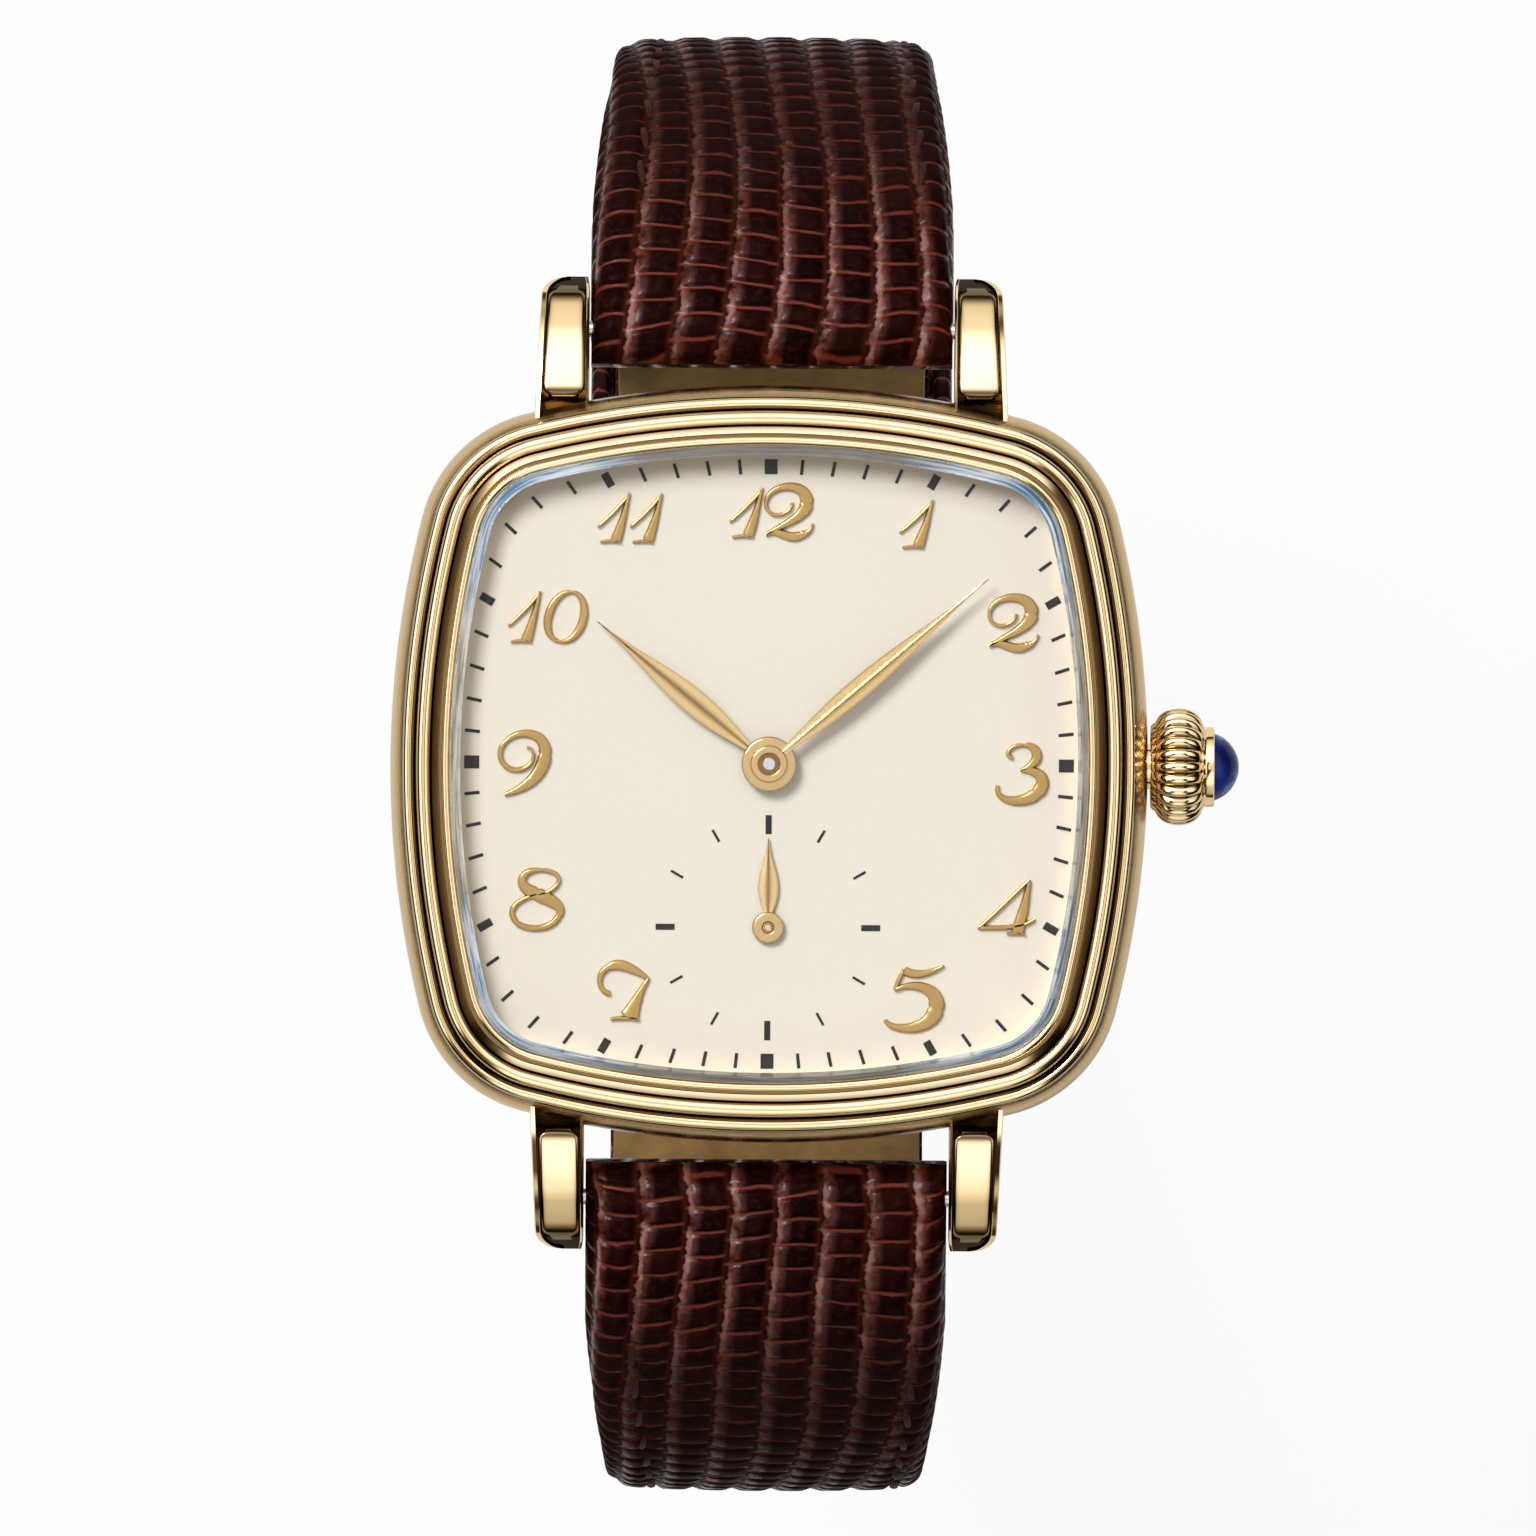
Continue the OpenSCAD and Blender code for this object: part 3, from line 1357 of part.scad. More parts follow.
// Motion works: cannon pinion, minute wheel and hour wheel
cannon_outer = 0.55;
cannon_bore = arbor_radius + 0.07;
hour_pipe = 0.92;
hour_bore = cannon_outer + shaft_clearance;
z_hour_hand = z_dial_top + 0.48;
z_minute_hand = z_dial_top + 0.84;
z_seconds_hand = z_dial_top + 0.14;
hand_thickness = 0.2;

module cannon_pinion() {
  color(steel) {
    pinion(spot_center, cannon_leaves, motion_module, z_motion, z_motion + 0.34, cannon_bore + 0.02,
      meshed(cannon_leaves, spot_minute_wheel, spot_center));
    washer(spot_center, cannon_outer, cannon_bore, z_motion + 0.34, z_minute_hand, 32);
  }
}

module minute_wheel() {
  color(brass)
    at(spot_minute_wheel, z_motion + 0.06)
      rotate(way(spot_minute_wheel, spot_center))
        linear_extrude(wheel_thickness)
          difference() {
            polygon(gear_points(minute_wheel_teeth, motion_module, 0.85, 1.15, 0.44));
            circle(r = 0.44, $fn = 12);
          }
  color(steel) {
    pinion(spot_minute_wheel, minute_pinion_leaves, hour_module,
      z_minute_pinion - 0.02, z_dial - 0.12, 0.42,
      way(spot_minute_wheel, spot_center));
    washer(spot_minute_wheel, 0.4, 0.25 + shaft_clearance, z_motion + 0.02, z_dial - 0.13, 32);
  }
}

module hour_wheel() {
  color(brass) {
    up(z_minute_pinion + 0.1)
      rotate(meshed(hour_wheel_teeth, spot_minute_wheel, spot_center))
        linear_extrude(wheel_thickness)
          difference() {
            polygon(gear_points(hour_wheel_teeth, hour_module, 0.75, 1.15, 0.4));
            circle(r = hour_pipe + 0.04, $fn = 12);
          }
    washer(spot_center, hour_pipe, hour_bore, z_minute_pinion + 0.06, z_hour_hand, 48);
  }
}

// Hands: a leaf on a round boss; each leaf swells from the boss and tapers to its tip
hour_angle = 90 + 50.7;
minute_angle = 90 - 49.5;
function leaf_half(t, width, root) =
  width / 2 * pow(sin(180 * pow(t, 0.87)), 1.15) + root / 2 * (1 - t);
function leaf_points(start, end, width, root) = concat(
  [for (t = [0:1 / 12:1]) [start + (end - start) * t, leaf_half(t, width, root) + 0.02]],
  [for (t = [1:-1 / 12:0]) [start + (end - start) * t, -leaf_half(t, width, root) - 0.02]]);

module hand(spot, z, angle, start, end, width, root, boss, hole, thickness) {
  at(spot, z)
    difference() {
      union() {
        rotate(angle)
          linear_extrude(thickness)
            polygon(leaf_points(start, end, width, root));
        cylinder(r = boss, h = thickness + 0.06, $fn = 48);
      }
      drill(hole);
    }
}

module hour_hand() {
  color(gold)
    hand(spot_center, z_hour_hand, hour_angle, 1, hour_length, hour_leaf, 0.4, 1.34,
      hour_pipe + set_clearance - 0.2, hand_thickness);
}

module minute_hand() {
  color(gold)
    hand(spot_center, z_minute_hand + 0.02, minute_angle, 0.6, minute_length, minute_leaf, 0.4, 0.95,
      arbor_radius + 0.05 + set_clearance, hand_thickness);
}

module seconds_hand() {
  color(gold)
    hand(spot_fourth, z_seconds_hand, 90, 0.5, seconds_length, seconds_leaf, 0.2, 0.75,
      0.22 + set_clearance, 0.15);
}

// Spring bars: a tube between the lugs, with one fixed tip and one sprung tip
bar_tip_radius = 0.4;
bar_tube_half = lug_gap / 2 - 0.25;
bar_plunger = 0.5;
tip_travel = 0.8;

module at_bar(end) {
  translate([0, end * bar_reach, bar_height])
    rotate([0, 90, 0])
      children();
}

module spring_bars() {
  color(steel)
    for (end = [-1, 1])
      at_bar(end)
        difference() {
          union() {
            up(-bar_tube_half)
              cylinder(r = bar_diameter / 2, h = 2 * bar_tube_half, $fn = 48);
            up(-lug_inner - 0.8)
              cylinder(r = bar_tip_radius, h = 2, $fn = 32);
          }
          up(bar_tube_half - 3.2)
            cylinder(r = bar_plunger + shaft_clearance, h = 4, $fn = 32);
        }
}

module bar_tip(end) {
  color(steel)
    at_bar(end) {
      up(bar_tube_half - 2)
        cylinder(r = bar_plunger, h = 2, $fn = 32);
      up(bar_tube_half)
        cylinder(r = bar_tip_radius, h = lug_inner - bar_tube_half + 0.85, $fn = 32);
    }
}

module upper_bar_tip() {
  bar_tip(1);
}

module lower_bar_tip() {
  bar_tip(-1);
}

// Route of a strap half in the YZ plane, measured along the leather from the bar
function route_heading(s, bend, last) =
  s < first_length ? strap_lean + s / first_radius * 180 / PI
  : min(last, 90 + (s - first_length) / bend * 180 / PI);
function first_place(a) =
  [bar_reach, bar_height] + first_radius * [sin(a) - sin(strap_lean), cos(a) - cos(strap_lean)];
function second_place(a, bend) = first_place(90) + bend * [sin(a) - 1, cos(a)];
function bend_end(bend, last) = first_length + bend * (last - 90) * PI / 180;
function route_place(s, bend, last) =
  s < first_length ? first_place(route_heading(s, bend, last))
  : s < bend_end(bend, last) ? second_place(route_heading(s, bend, last), bend)
  : second_place(last, bend) + (s - bend_end(bend, last)) * [cos(last), -sin(last)];
function outer_half(s) = lookup(s, [[0, loop_radius], [7, 2.3], [20, 1.9], [40, 1.45], [120, 1.35]]);
function inner_half(s) = lookup(s, [[0, loop_radius], [7, 1.7], [40, 1.3], [120, 1.2]]);
function route_side(s, bend, last, offset) =
  let (a = route_heading(s, bend, last))
  route_place(s, bend, last) + offset * [sin(a), cos(a)];
lining_start = 4.5;
lining_stop = 3.2;
function stations(length) = concat(
  [0, 2, lining_start],
  [for (s = [8:4:68]) s],
  [length - lining_stop, length]);
function lining_stations(length) = [
  for (s = stations(length))
    if (s >= lining_start && s <= length - lining_stop) s
];

// Width of the strap at each height: full at the bar, narrower round the curve
taper_plan = [
  [-strap_width / 2, 6], [-strap_width / 2, -1.5], [-strap_width / 2 + 0.2, -4],
  [-strap_width / 2 + 0.72, -10], [-strap_end_width / 2 - 0.05, -14], [-strap_end_width / 2, -20],
  [-strap_end_width / 2, -110], [strap_end_width / 2, -110], [strap_end_width / 2, -20],
  [strap_end_width / 2 + 0.05, -14], [strap_width / 2 - 0.72, -10], [strap_width / 2 - 0.2, -4],
  [strap_width / 2, -1.5], [strap_width / 2, 6]
];

module tapered() {
  intersection() {
    rotate([90, 0, 90])
      linear_extrude(strap_width + 2, center = true)
        children();
    rotate([90, 0, 0])
      linear_extrude(200, center = true)
        polygon(taper_plan);
  }
}

// Side view of a strap half: the padded leather, round at the bar, and the lining under it
module strap_side(length, bend, last, end_loop) {
  steps = stations(length);
  polygon(concat(
    [for (s = steps) route_side(s, bend, last, outer_half(s))],
    end_loop > 0
      ? arc(route_place(length, bend, last), end_loop, 90 - last, -90 - last, 8) : [],
    [for (s = reversed(steps)) route_side(s, bend, last, -inner_half(s))],
    arc([bar_reach, bar_height], loop_radius, 270 - strap_lean, 90 - strap_lean, 8)));
}

// Frame at distance s along a strap half: Y runs along the leather and Z out of it
module on_strap(s, bend, last) {
  place = route_place(s, bend, last);
  translate([0, place[0], place[1]])
    rotate([-route_heading(s, bend, last), 0, 0])
      children();
}

// Side view of the lining, on the inside of a strap half
module lining_side(length, bend, last) {
  steps = lining_stations(length);
  polygon(concat(
    [for (s = steps) route_side(s, bend, last, lining_thickness - inner_half(s))],
    [for (s = reversed(steps)) route_side(s, bend, last, -inner_half(s))]));
}

buckle_loop = 1.6;
buckle_bar_radius = 0.75;

module tongue_slot() {
  translate([-1.2, -3.3, -4])
    cube([2.4, 8, 8]);
}

// Leather of a strap half, with the hole for its spring bar and without the lining's room
module strap_leather(length, bend, last, end_loop) {
  difference() {
    tapered()
      difference() {
        strap_side(length, bend, last, end_loop);
        lining_side(length, bend, last);
      }
    at_bar(1)
      drill(bar_diameter / 2 + shaft_clearance, -lug_gap, 2 * lug_gap, 48);
  }
}

module strap_upper() {
  color(leather)
    difference() {
      strap_leather(upper_length, upper_bend, upper_heading, buckle_loop);
      on_strap(upper_length, upper_bend, upper_heading) {
        rotate([0, 90, 0])
          drill(buckle_bar_radius + shaft_clearance, -lug_gap, 2 * lug_gap, 48);
        tongue_slot();
      }
    }
}

// Corner of the tail that is cut away to leave its rounded point
tail_length = 14;
tail_tip = 1.2;
module tail_corner() {
  half = strap_end_width / 2 + 0.3;
  linear_extrude(12, center = true)
    polygon(concat(
      [for (i = [0:6])
        let (t = i / 6)
        [half * (1 - t * t) + tail_tip * t * t, tail_length * (sqrt(t) - 1)]],
      [[tail_tip, 3], [half + 2, 3], [half + 2, -tail_length]]));
}

module strap_lower() {
  color(leather)
    mirror([0, 1, 0])
      difference() {
        strap_leather(lower_length, lower_bend, lower_heading, 0);
        tail_cuts();
      }
}

// Cuts through the leather and the lining of the lower half: its rounded point and its holes
module tail_cuts() {
  on_strap(lower_length, lower_bend, lower_heading)
    for (side = [0, 1])
      mirror([side, 0, 0])
        tail_corner();
  for (i = [0:strap_holes - 1])
    on_strap(lower_length - 17 - hole_pitch * i, lower_bend, lower_heading)
      rotate(90)
        cylinder(r = 0.9, h = 8, center = true, $fn = 24);
}

module strap_upper_lining() {
  color(lining_tan)
    difference() {
      tapered()
        lining_side(upper_length, upper_bend, upper_heading);
      on_strap(upper_length, upper_bend, upper_heading)
        tongue_slot();
    }
}

module strap_lower_lining() {
  color(lining_tan)
    mirror([0, 1, 0])
      difference() {
        tapered()
          lining_side(lower_length, lower_bend, lower_heading);
        tail_cuts();
      }
}

// Keepers: leather loops round the buckle half
keeper_wall = 1;
keeper_fixed_place = upper_length - 8;
keeper_free_place = bend_end(upper_bend, upper_heading) + 3.5;

module keeper(s, length) {
  inside = strap_end_width / 2 + 0.3;
  low = -inner_half(s) - 0.3;
  high = outer_half(s) + 3.1;
  color(leather)
    on_strap(s, upper_bend, upper_heading)
      rotate([90, 0, 0])
        linear_extrude(length, center = true)
          difference() {
            polygon(concat(
              arc([inside, high], keeper_wall, 0, 90, 3),
              arc([-inside, high], keeper_wall, 90, 180, 3),
              arc([-inside, low], keeper_wall, 180, 270, 3),
              arc([inside, low], keeper_wall, 270, 360, 3)));
            translate([-inside, low])
              square([2 * inside, high - low]);
          }
}

module keeper_fixed() {
  keeper(keeper_fixed_place, 4.5);
}

module keeper_free() {
  keeper(keeper_free_place, 4);
}

// Buckle: frame, tongue and the bar through the strap's end; the frame hangs straight down
buckle_place = route_place(upper_length, upper_bend, upper_heading);
frame_half = strap_end_width / 2 + 0.25;
frame_arm = 1.7;
frame_length = 8.4;
frame_thickness = 0.9;
// The lower half bends so that its straight end passes under the buckle at this distance
tail_clearance = 6.1;
lower_bend = (([-buckle_place[0], buckle_place[1] - frame_length - 1.6] - first_place(90))
  * [sin(lower_heading), cos(lower_heading)] + tail_clearance) / (1 - sin(lower_heading));

module at_buckle() {
  translate([0, buckle_place[0], buckle_place[1]])
    children();
}

module buckle_frame() {
  outer = frame_half + frame_arm;
  color(gold)
    at_buckle()
      difference() {
        rotate([90, 0, 0])
          linear_extrude(2 * frame_thickness, center = true)
            difference() {
              polygon(concat(
                arc([outer - 1.3, 0], 1.3, 0, 90, 4), arc([-outer + 1.3, 0], 1.3, 90, 180, 4),
                arc([-outer + 2.4, -frame_length + 0.8], 2.4, 180, 270, 6),
                arc([outer - 2.4, -frame_length + 0.8], 2.4, 270, 360, 6)));
              polygon(concat(
                [[frame_half, 3], [-frame_half, 3]],
                arc([-frame_half + 1.2, -frame_length + 2.1], 1.2, 180, 270, 4),
                arc([frame_half - 1.2, -frame_length + 2.1], 1.2, 270, 360, 4)));
            }
        rod(buckle_tip_radius + shaft_clearance, -frame_half - 1.15, frame_half + 1.15, 0);
      }
}
buckle_tip_radius = 0.45;

module buckle_bar() {
  color(steel)
    at_buckle() {
      rod(buckle_bar_radius, -frame_half + 0.1, frame_half - 0.1, 0);
      rod(buckle_tip_radius, -frame_half - 1, -frame_half + 0.1, 0, 0, 32);
      rod(buckle_tip_radius, frame_half - 0.1, frame_half + 1, 0, 0, 32);
    }
}

tongue_half = 0.85;
module buckle_tongue() {
  color(gold)
    at_buckle()
      difference() {
        union() {
          rod(1.45, -tongue_half, tongue_half, 0);
          rotate([90, 0, 90])
            linear_extrude(2 * tongue_half, center = true)
              polygon([[0.2, 1.3], [1.3, 0.9], [1.75, -0.5], [1.75, -frame_length - 1],
                [1.02, -frame_length - 1.2], [1.02, -1], [0.2, -1.2]]);
        }
        rod(buckle_bar_radius + shaft_clearance, -5, 5, 0);
      }
}

case_band();
bezel();
crystal();
gaskets();
case_back();
window_glass_disc();
screws();
movement_ring();
dial();
hour_numerals();
crown_tube();
crown();
crown_cabochon();
crown_gasket();
winding_stem();
winding_pinion();
sliding_pinion();
setting_lever();
yoke();
setting_wheel();
mainplate();
barrel_bridge();
train_bridge();
balance_cock();
pallet_bridge();
jewels();
barrel();
barrel_cover();
barrel_arbor();
mainspring();
ratchet_wheel();
crown_wheel();
click();
click_spring();
center_wheel();
third_wheel();
fourth_wheel();
escape_wheel();
pallet_fork();
balance_wheel();
balance_spring();
regulator();
cannon_pinion();
minute_wheel();
hour_wheel();
hour_hand();
minute_hand();
seconds_hand();
spring_bars();
upper_bar_tip();
lower_bar_tip();
strap_upper();
strap_upper_lining();
strap_lower();
strap_lower_lining();
keeper_fixed();
keeper_free();
buckle_frame();
buckle_tongue();
buckle_bar();
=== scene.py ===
from functools import partialmethod
from math import asin, copysign, cos, degrees, dist, exp, pi, radians, sin, sqrt

import bmesh
import bpy
import numpy as np
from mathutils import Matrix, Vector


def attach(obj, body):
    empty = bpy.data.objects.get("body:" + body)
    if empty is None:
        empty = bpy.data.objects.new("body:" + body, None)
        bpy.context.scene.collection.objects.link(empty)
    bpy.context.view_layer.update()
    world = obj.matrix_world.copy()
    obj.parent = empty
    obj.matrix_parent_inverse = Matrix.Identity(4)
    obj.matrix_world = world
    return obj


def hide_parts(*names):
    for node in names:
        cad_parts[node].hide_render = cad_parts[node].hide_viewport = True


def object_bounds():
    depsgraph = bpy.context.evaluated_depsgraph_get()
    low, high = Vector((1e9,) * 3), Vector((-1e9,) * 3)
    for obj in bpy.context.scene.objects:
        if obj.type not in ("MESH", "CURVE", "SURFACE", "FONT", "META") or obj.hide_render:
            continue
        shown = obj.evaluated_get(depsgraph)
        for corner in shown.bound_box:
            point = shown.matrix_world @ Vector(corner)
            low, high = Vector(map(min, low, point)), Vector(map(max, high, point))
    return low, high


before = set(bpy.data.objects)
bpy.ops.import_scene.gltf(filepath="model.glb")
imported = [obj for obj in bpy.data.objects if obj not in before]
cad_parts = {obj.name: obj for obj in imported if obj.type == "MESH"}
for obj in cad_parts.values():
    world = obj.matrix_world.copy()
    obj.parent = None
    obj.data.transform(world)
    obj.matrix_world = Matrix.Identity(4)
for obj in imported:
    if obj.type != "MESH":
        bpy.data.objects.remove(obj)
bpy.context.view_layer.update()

MM = 0.001
scene = bpy.context.scene


def put(name, data):
    thing = bpy.data.objects.new(name, data)
    scene.collection.objects.link(thing)
    return thing


# ---- shader nodes

class Value:
    """A number that nodes work out; arithmetic with it adds Math nodes."""

    def __init__(self, nodes, socket):
        self.nodes, self.socket = nodes, socket

    def math(self, operation, *others):
        return self.nodes.math(operation, self, *others)

    __add__, __sub__ = partialmethod(math, "ADD"), partialmethod(math, "SUBTRACT")
    __mul__, __truediv__ = partialmethod(math, "MULTIPLY"), partialmethod(math, "DIVIDE")

    def __rsub__(self, other):
        return self.nodes.math("SUBTRACT", other, self)

    def span(self, low, high, to_low=0.0, to_high=1.0, kind="LINEAR"):
        """The value mapped from low..high to to_low..to_high, and held beyond them."""
        node = self.nodes.add("MapRange", self, low, high, to_low, to_high, interpolation_type=kind)
        return Value(self.nodes, node.outputs[0])

    def step(self, *levels):
        """The same, with a smooth start and end."""
        return self.span(*levels, kind="SMOOTHSTEP")


class Nodes:
    """Adds nodes to a tree and links them."""

    def __init__(self, tree):
        self.tree = tree

    def feed(self, socket, source):
        if isinstance(source, Value):
            source = source.socket
        if isinstance(source, bpy.types.NodeSocket):
            self.tree.links.new(source, socket)
        elif isinstance(source, tuple) and socket.type == "RGBA":
            socket.default_value = (*source, 1)
        else:
            socket.default_value = source

    def add(self, kind, *sources, **settings):
        """A node; the sources, which are sockets, values or numbers, are for its first inputs."""
        node = self.tree.nodes.new("ShaderNode" + kind)
        for key, value in settings.items():
            setattr(node, key, value)
        for socket, source in zip(node.inputs, sources):
            self.feed(socket, source)
        return node

    def math(self, operation, *sources):
        return Value(self, self.add("Math", *sources, operation=operation).outputs[0])

    def split(self, vector):
        return [Value(self, socket) for socket in self.add("SeparateXYZ", vector).outputs]

    def blend(self, factor, a, b):
        """Colour a where the factor is 0 and b where it is 1."""
        node = self.add("Mix", data_type="RGBA")
        for key, source in zip(("Factor", "A", "B"), (factor, a, b)):
            self.feed(node.inputs[key], source)
        return node.outputs["Result"]


class Paint(Nodes):
    """A material whose nodes feed one Principled shader."""

    def __init__(self, name, **inputs):
        self.material = bpy.data.materials.new(name)
        self.material.use_nodes = True
        super().__init__(self.material.node_tree)
        self.shade = self.tree.nodes["Principled BSDF"]
        self.normal = None
        self.set(**inputs)

    def set(self, **inputs):
        for key, source in inputs.items():
            self.feed(self.shade.inputs[key.replace("_", " ")], source)

    def place(self):
        return self.add("TexCoord").outputs["Object"]

    def attribute(self, name):
        return self.add("Attribute", attribute_name=name).outputs["Vector"]

    def noise(self, scale, detail, stretch=(1, 1, 1), source=None):
        where = self.add("VectorMath", source or self.place(), stretch, operation="MULTIPLY")
        node = self.add("TexNoise", where.outputs[0])
        node.inputs["Scale"].default_value = scale
        node.inputs["Detail"].default_value = detail
        return Value(self, node.outputs[0])

    def rings(self, scale, detail, centre=(0, 0), height=0.0):
        """Turned graining round a centre in millimetres, and the distance from it."""
        x, y, z = self.xyz()
        dx, dy = x - centre[0] * MM, y - centre[1] * MM
        away = (dx * dx + dy * dy).math("SQRT")
        where = self.add("CombineXYZ", away, z * height, 0.0).outputs[0]
        return self.noise(scale, detail, source=where), away

    def xyz(self):
        return self.split(self.place())

    def bump(self, height, depth, strength=1.0):
        """Relief of the given depth in millimetres; calls add up."""
        node = self.add("Bump")
        node.inputs["Strength"].default_value = strength
        node.inputs["Distance"].default_value = depth * MM
        self.feed(node.inputs["Height"], height)
        if self.normal is not None:
            self.feed(node.inputs["Normal"], self.normal)
        self.normal = node.outputs[0]
        self.set(Normal=self.normal)

    def finish(self, color, gloss=None, *reliefs, **inputs):
        """The material, given its colour, (grain, smooth end, rough end) and (height, depth, strength)."""
        self.set(Base_Color=color, **inputs)
        if gloss:
            self.set(Roughness=gloss[0].span(0.3, 0.7, *gloss[1:]))
        for relief in reliefs:
            self.bump(*relief)
        return self.material


# ---- camera, light, floor

CAMERA_LENS, CAMERA_PLACE, CAMERA_ROLL = 708, (-0.05 * MM, -0.2 * MM, 1.5), 0.4
FLOOR_RADIUS, FLOOR_GAP = 0.5, 0.0006
DIFFUSE_LIGHT = (0.45, 0.45, 0.455)
SHADE_TINT, LIGHT_TINT = (1, 0.64, 0.3), (1, 1.02, 1.3)


def make_camera():
    """The photograph's view: from straight above the dial, far away, rolled a little."""
    data = bpy.data.cameras.new("camera")
    data.sensor_width, data.lens = 36, CAMERA_LENS
    data.clip_start, data.clip_end = 0.1, 20
    camera = put("camera", data)
    camera.location = CAMERA_PLACE
    camera.rotation_euler = (0, 0, radians(CAMERA_ROLL))
    scene.camera = camera


def make_world():
    """A light tent: white to the camera, and soft light with dark gaps to polished metal."""
    world = bpy.data.worlds.new("studio")
    scene.world = world
    world.use_nodes = True
    sky = Nodes(world.node_tree)
    x, y, z = sky.split(sky.add("TexCoord").outputs["Generated"])

    def by_rise(stops):
        """Light of a reflected ray by its rise."""
        ramp = sky.add("ValToRGB", z * 0.5 + 0.5)
        elements = ramp.color_ramp.elements
        while len(elements) < len(stops):
            elements.new(0.5)
        for element, (at, level) in zip(elements, stops):
            element.position = at / 2 + 0.5
            element.color = (level, level * 0.985, level * 0.96, 1)
        return ramp.outputs[0]

    low = [(-1, 0.34), (-0.5, 0.3), (-0.22, 0.1), (-0.05, 0.02)]
    high = [(0.62, 1.6), (0.84, 2.0), (0.93, 1.85), (0.97, 1.3), (0.99, 0.98), (1, 0.9)]
    round_way = by_rise(low + [(0.1, 0.015), (0.28, 0.03), (0.4, 0.2), (0.5, 0.9)] + high)
    lengthways = by_rise(low + [(0.03, 0.35), (0.12, 0.75), (0.3, 0.9), (0.45, 0.95)] + high)
    flat = x * x + y * y + 1e-4
    sideways = x * x / flat
    corner = x * y * 2.0 / flat
    wedge = (corner * -1.0).step(0.8, 0.96).math("MAXIMUM", corner.step(0.8, 0.96) * 0.95)
    wedge = wedge * y.step(-0.12, 0.05, 1.0, 0.0) * flat.step(0.01, 0.06, 0.0, 0.97)
    gap = z.step(0.86, 0.9) * z.step(0.95, 0.97, 1.0, 0.0) * sideways.step(0.35, 0.6) * 0.94
    lean = x * -0.2 + 0.97 + y * 0.24
    box = z * 0.59 + y * 0.57 + x * -0.57
    both = sky.blend(sideways.step(0.05, 0.14, 1.0, 0.0), round_way, lengthways)
    scaled = sky.add("VectorMath", both, operation="SCALE")
    sky.feed(scaled.inputs["Scale"], (1.0 - wedge) * (1.0 - gap) * lean)
    strength = sky.split(scaled.outputs[0])[0]
    tint = sky.blend(strength.step(0.0, 0.5), SHADE_TINT, (1, 1, 1))
    tint = sky.blend(strength.step(0.9, 1.7), tint, LIGHT_TINT)
    tinted = sky.add("VectorMath", scaled.outputs[0], tint, operation="MULTIPLY")
    tent = sky.add("VectorMath", tinted.outputs[0], box.step(0.8, 0.93, 0.0, 0.9))
    rays = sky.add("LightPath").outputs
    seen = sky.math("MAXIMUM", rays["Is Camera Ray"], rays["Is Transmission Ray"])
    level = sky.blend(rays["Is Glossy Ray"], DIFFUSE_LIGHT, tent.outputs[0])
    sky.feed(sky.tree.nodes["Background"].inputs[0], sky.blend(seen, level, (1, 1, 1)))


def make_lamp(name, place, size, power):
    data = bpy.data.lights.new(name, "AREA")
    data.shape, data.size, data.energy = "DISK", size, power
    lamp = put(name, data)
    lamp.location = place
    lamp.rotation_mode = "QUATERNION"
    lamp.rotation_quaternion = (-lamp.location).to_track_quat("-Z", "Y")


def make_floor():
    """A pale disc that keeps the shadow, glows to the camera and is clear from below."""
    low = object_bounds()[0].z - FLOOR_GAP
    mesh = bpy.data.meshes.new("floor")
    rim = [(FLOOR_RADIUS * cos(a), FLOOR_RADIUS * sin(a), low) for a in np.radians(range(0, 360, 5))]
    mesh.from_pydata(rim, [], [list(range(len(rim)))])
    floor = put("floor", mesh)
    p = Paint("floor_pale", Base_Color=(0.9, 0.9, 0.9), Roughness=0.9, Specular_IOR_Level=0)
    away = Value(p, p.add("VectorMath", p.place(), operation="LENGTH").outputs["Value"])
    glow = away.span(0.2, 0.4, 0.93, 1.0) * p.add("LightPath").outputs["Is Camera Ray"]
    lit = p.add("MixShader", glow, p.shade.outputs[0], p.add("Emission").outputs[0])
    under = p.add("NewGeometry").outputs["Backfacing"]
    shown = p.add("MixShader", under, lit.outputs[0], p.add("BsdfTransparent").outputs[0])
    p.feed(p.tree.nodes["Material Output"].inputs["Surface"], shown.outputs[0])
    mesh.materials.append(p.material)


make_camera()
make_world()
make_lamp("key", place=(-0.46, 0.56, 0.95), size=0.5, power=10.2)
make_floor()


# ---- materials

def grained(name, scale, detail, dark, light, gloss=(), relief=(), stretch=(1, 1, 1), along=None, **inputs):
    """A finish whose colour, gloss and relief follow one noise, which may run along an attribute."""
    p = Paint(name, **inputs)
    grain = p.noise(scale, detail, stretch, p.attribute(along) if along else None)
    reliefs = [(grain, *relief)] if relief else []
    return p.finish(p.blend(grain, dark, light), gloss and (grain, *gloss), *reliefs)


def polished_gold():
    """Bright gold, darkened by painted shade where the mark's third number is high: in grooves, recesses and
    between flutes.
    """
    p = Paint("gold_polished", Metallic=1)
    gold = p.blend(p.noise(60, 2), (0.87, 0.645, 0.33), (0.91, 0.685, 0.365))
    # painted shade: the mark's third number blends the gold to near black
    return p.finish(p.blend(p.split(p.attribute("flow"))[2], gold, (0.035, 0.02, 0.008)), None,
                    (p.noise(900, 2), 0.002, 0.25), Roughness=p.noise(140, 4).span(0.3, 0.75, 0.05, 0.12))


def matt_gold(name, dark, light):
    """Fine-grained gold, darkened by painted shade where the mark's third number is high."""
    p = Paint(name, Metallic=1)
    grain, gold = p.noise(9000, 3), p.blend(p.noise(400, 2), dark, light)
    # painted shade: the mark's third number blends the gold to dark brown
    return p.finish(p.blend(p.split(p.attribute("flow"))[2], gold, (0.24, 0.12, 0.03)), (grain, 0.13, 0.22),
                    (grain, 0.002, 0.3))


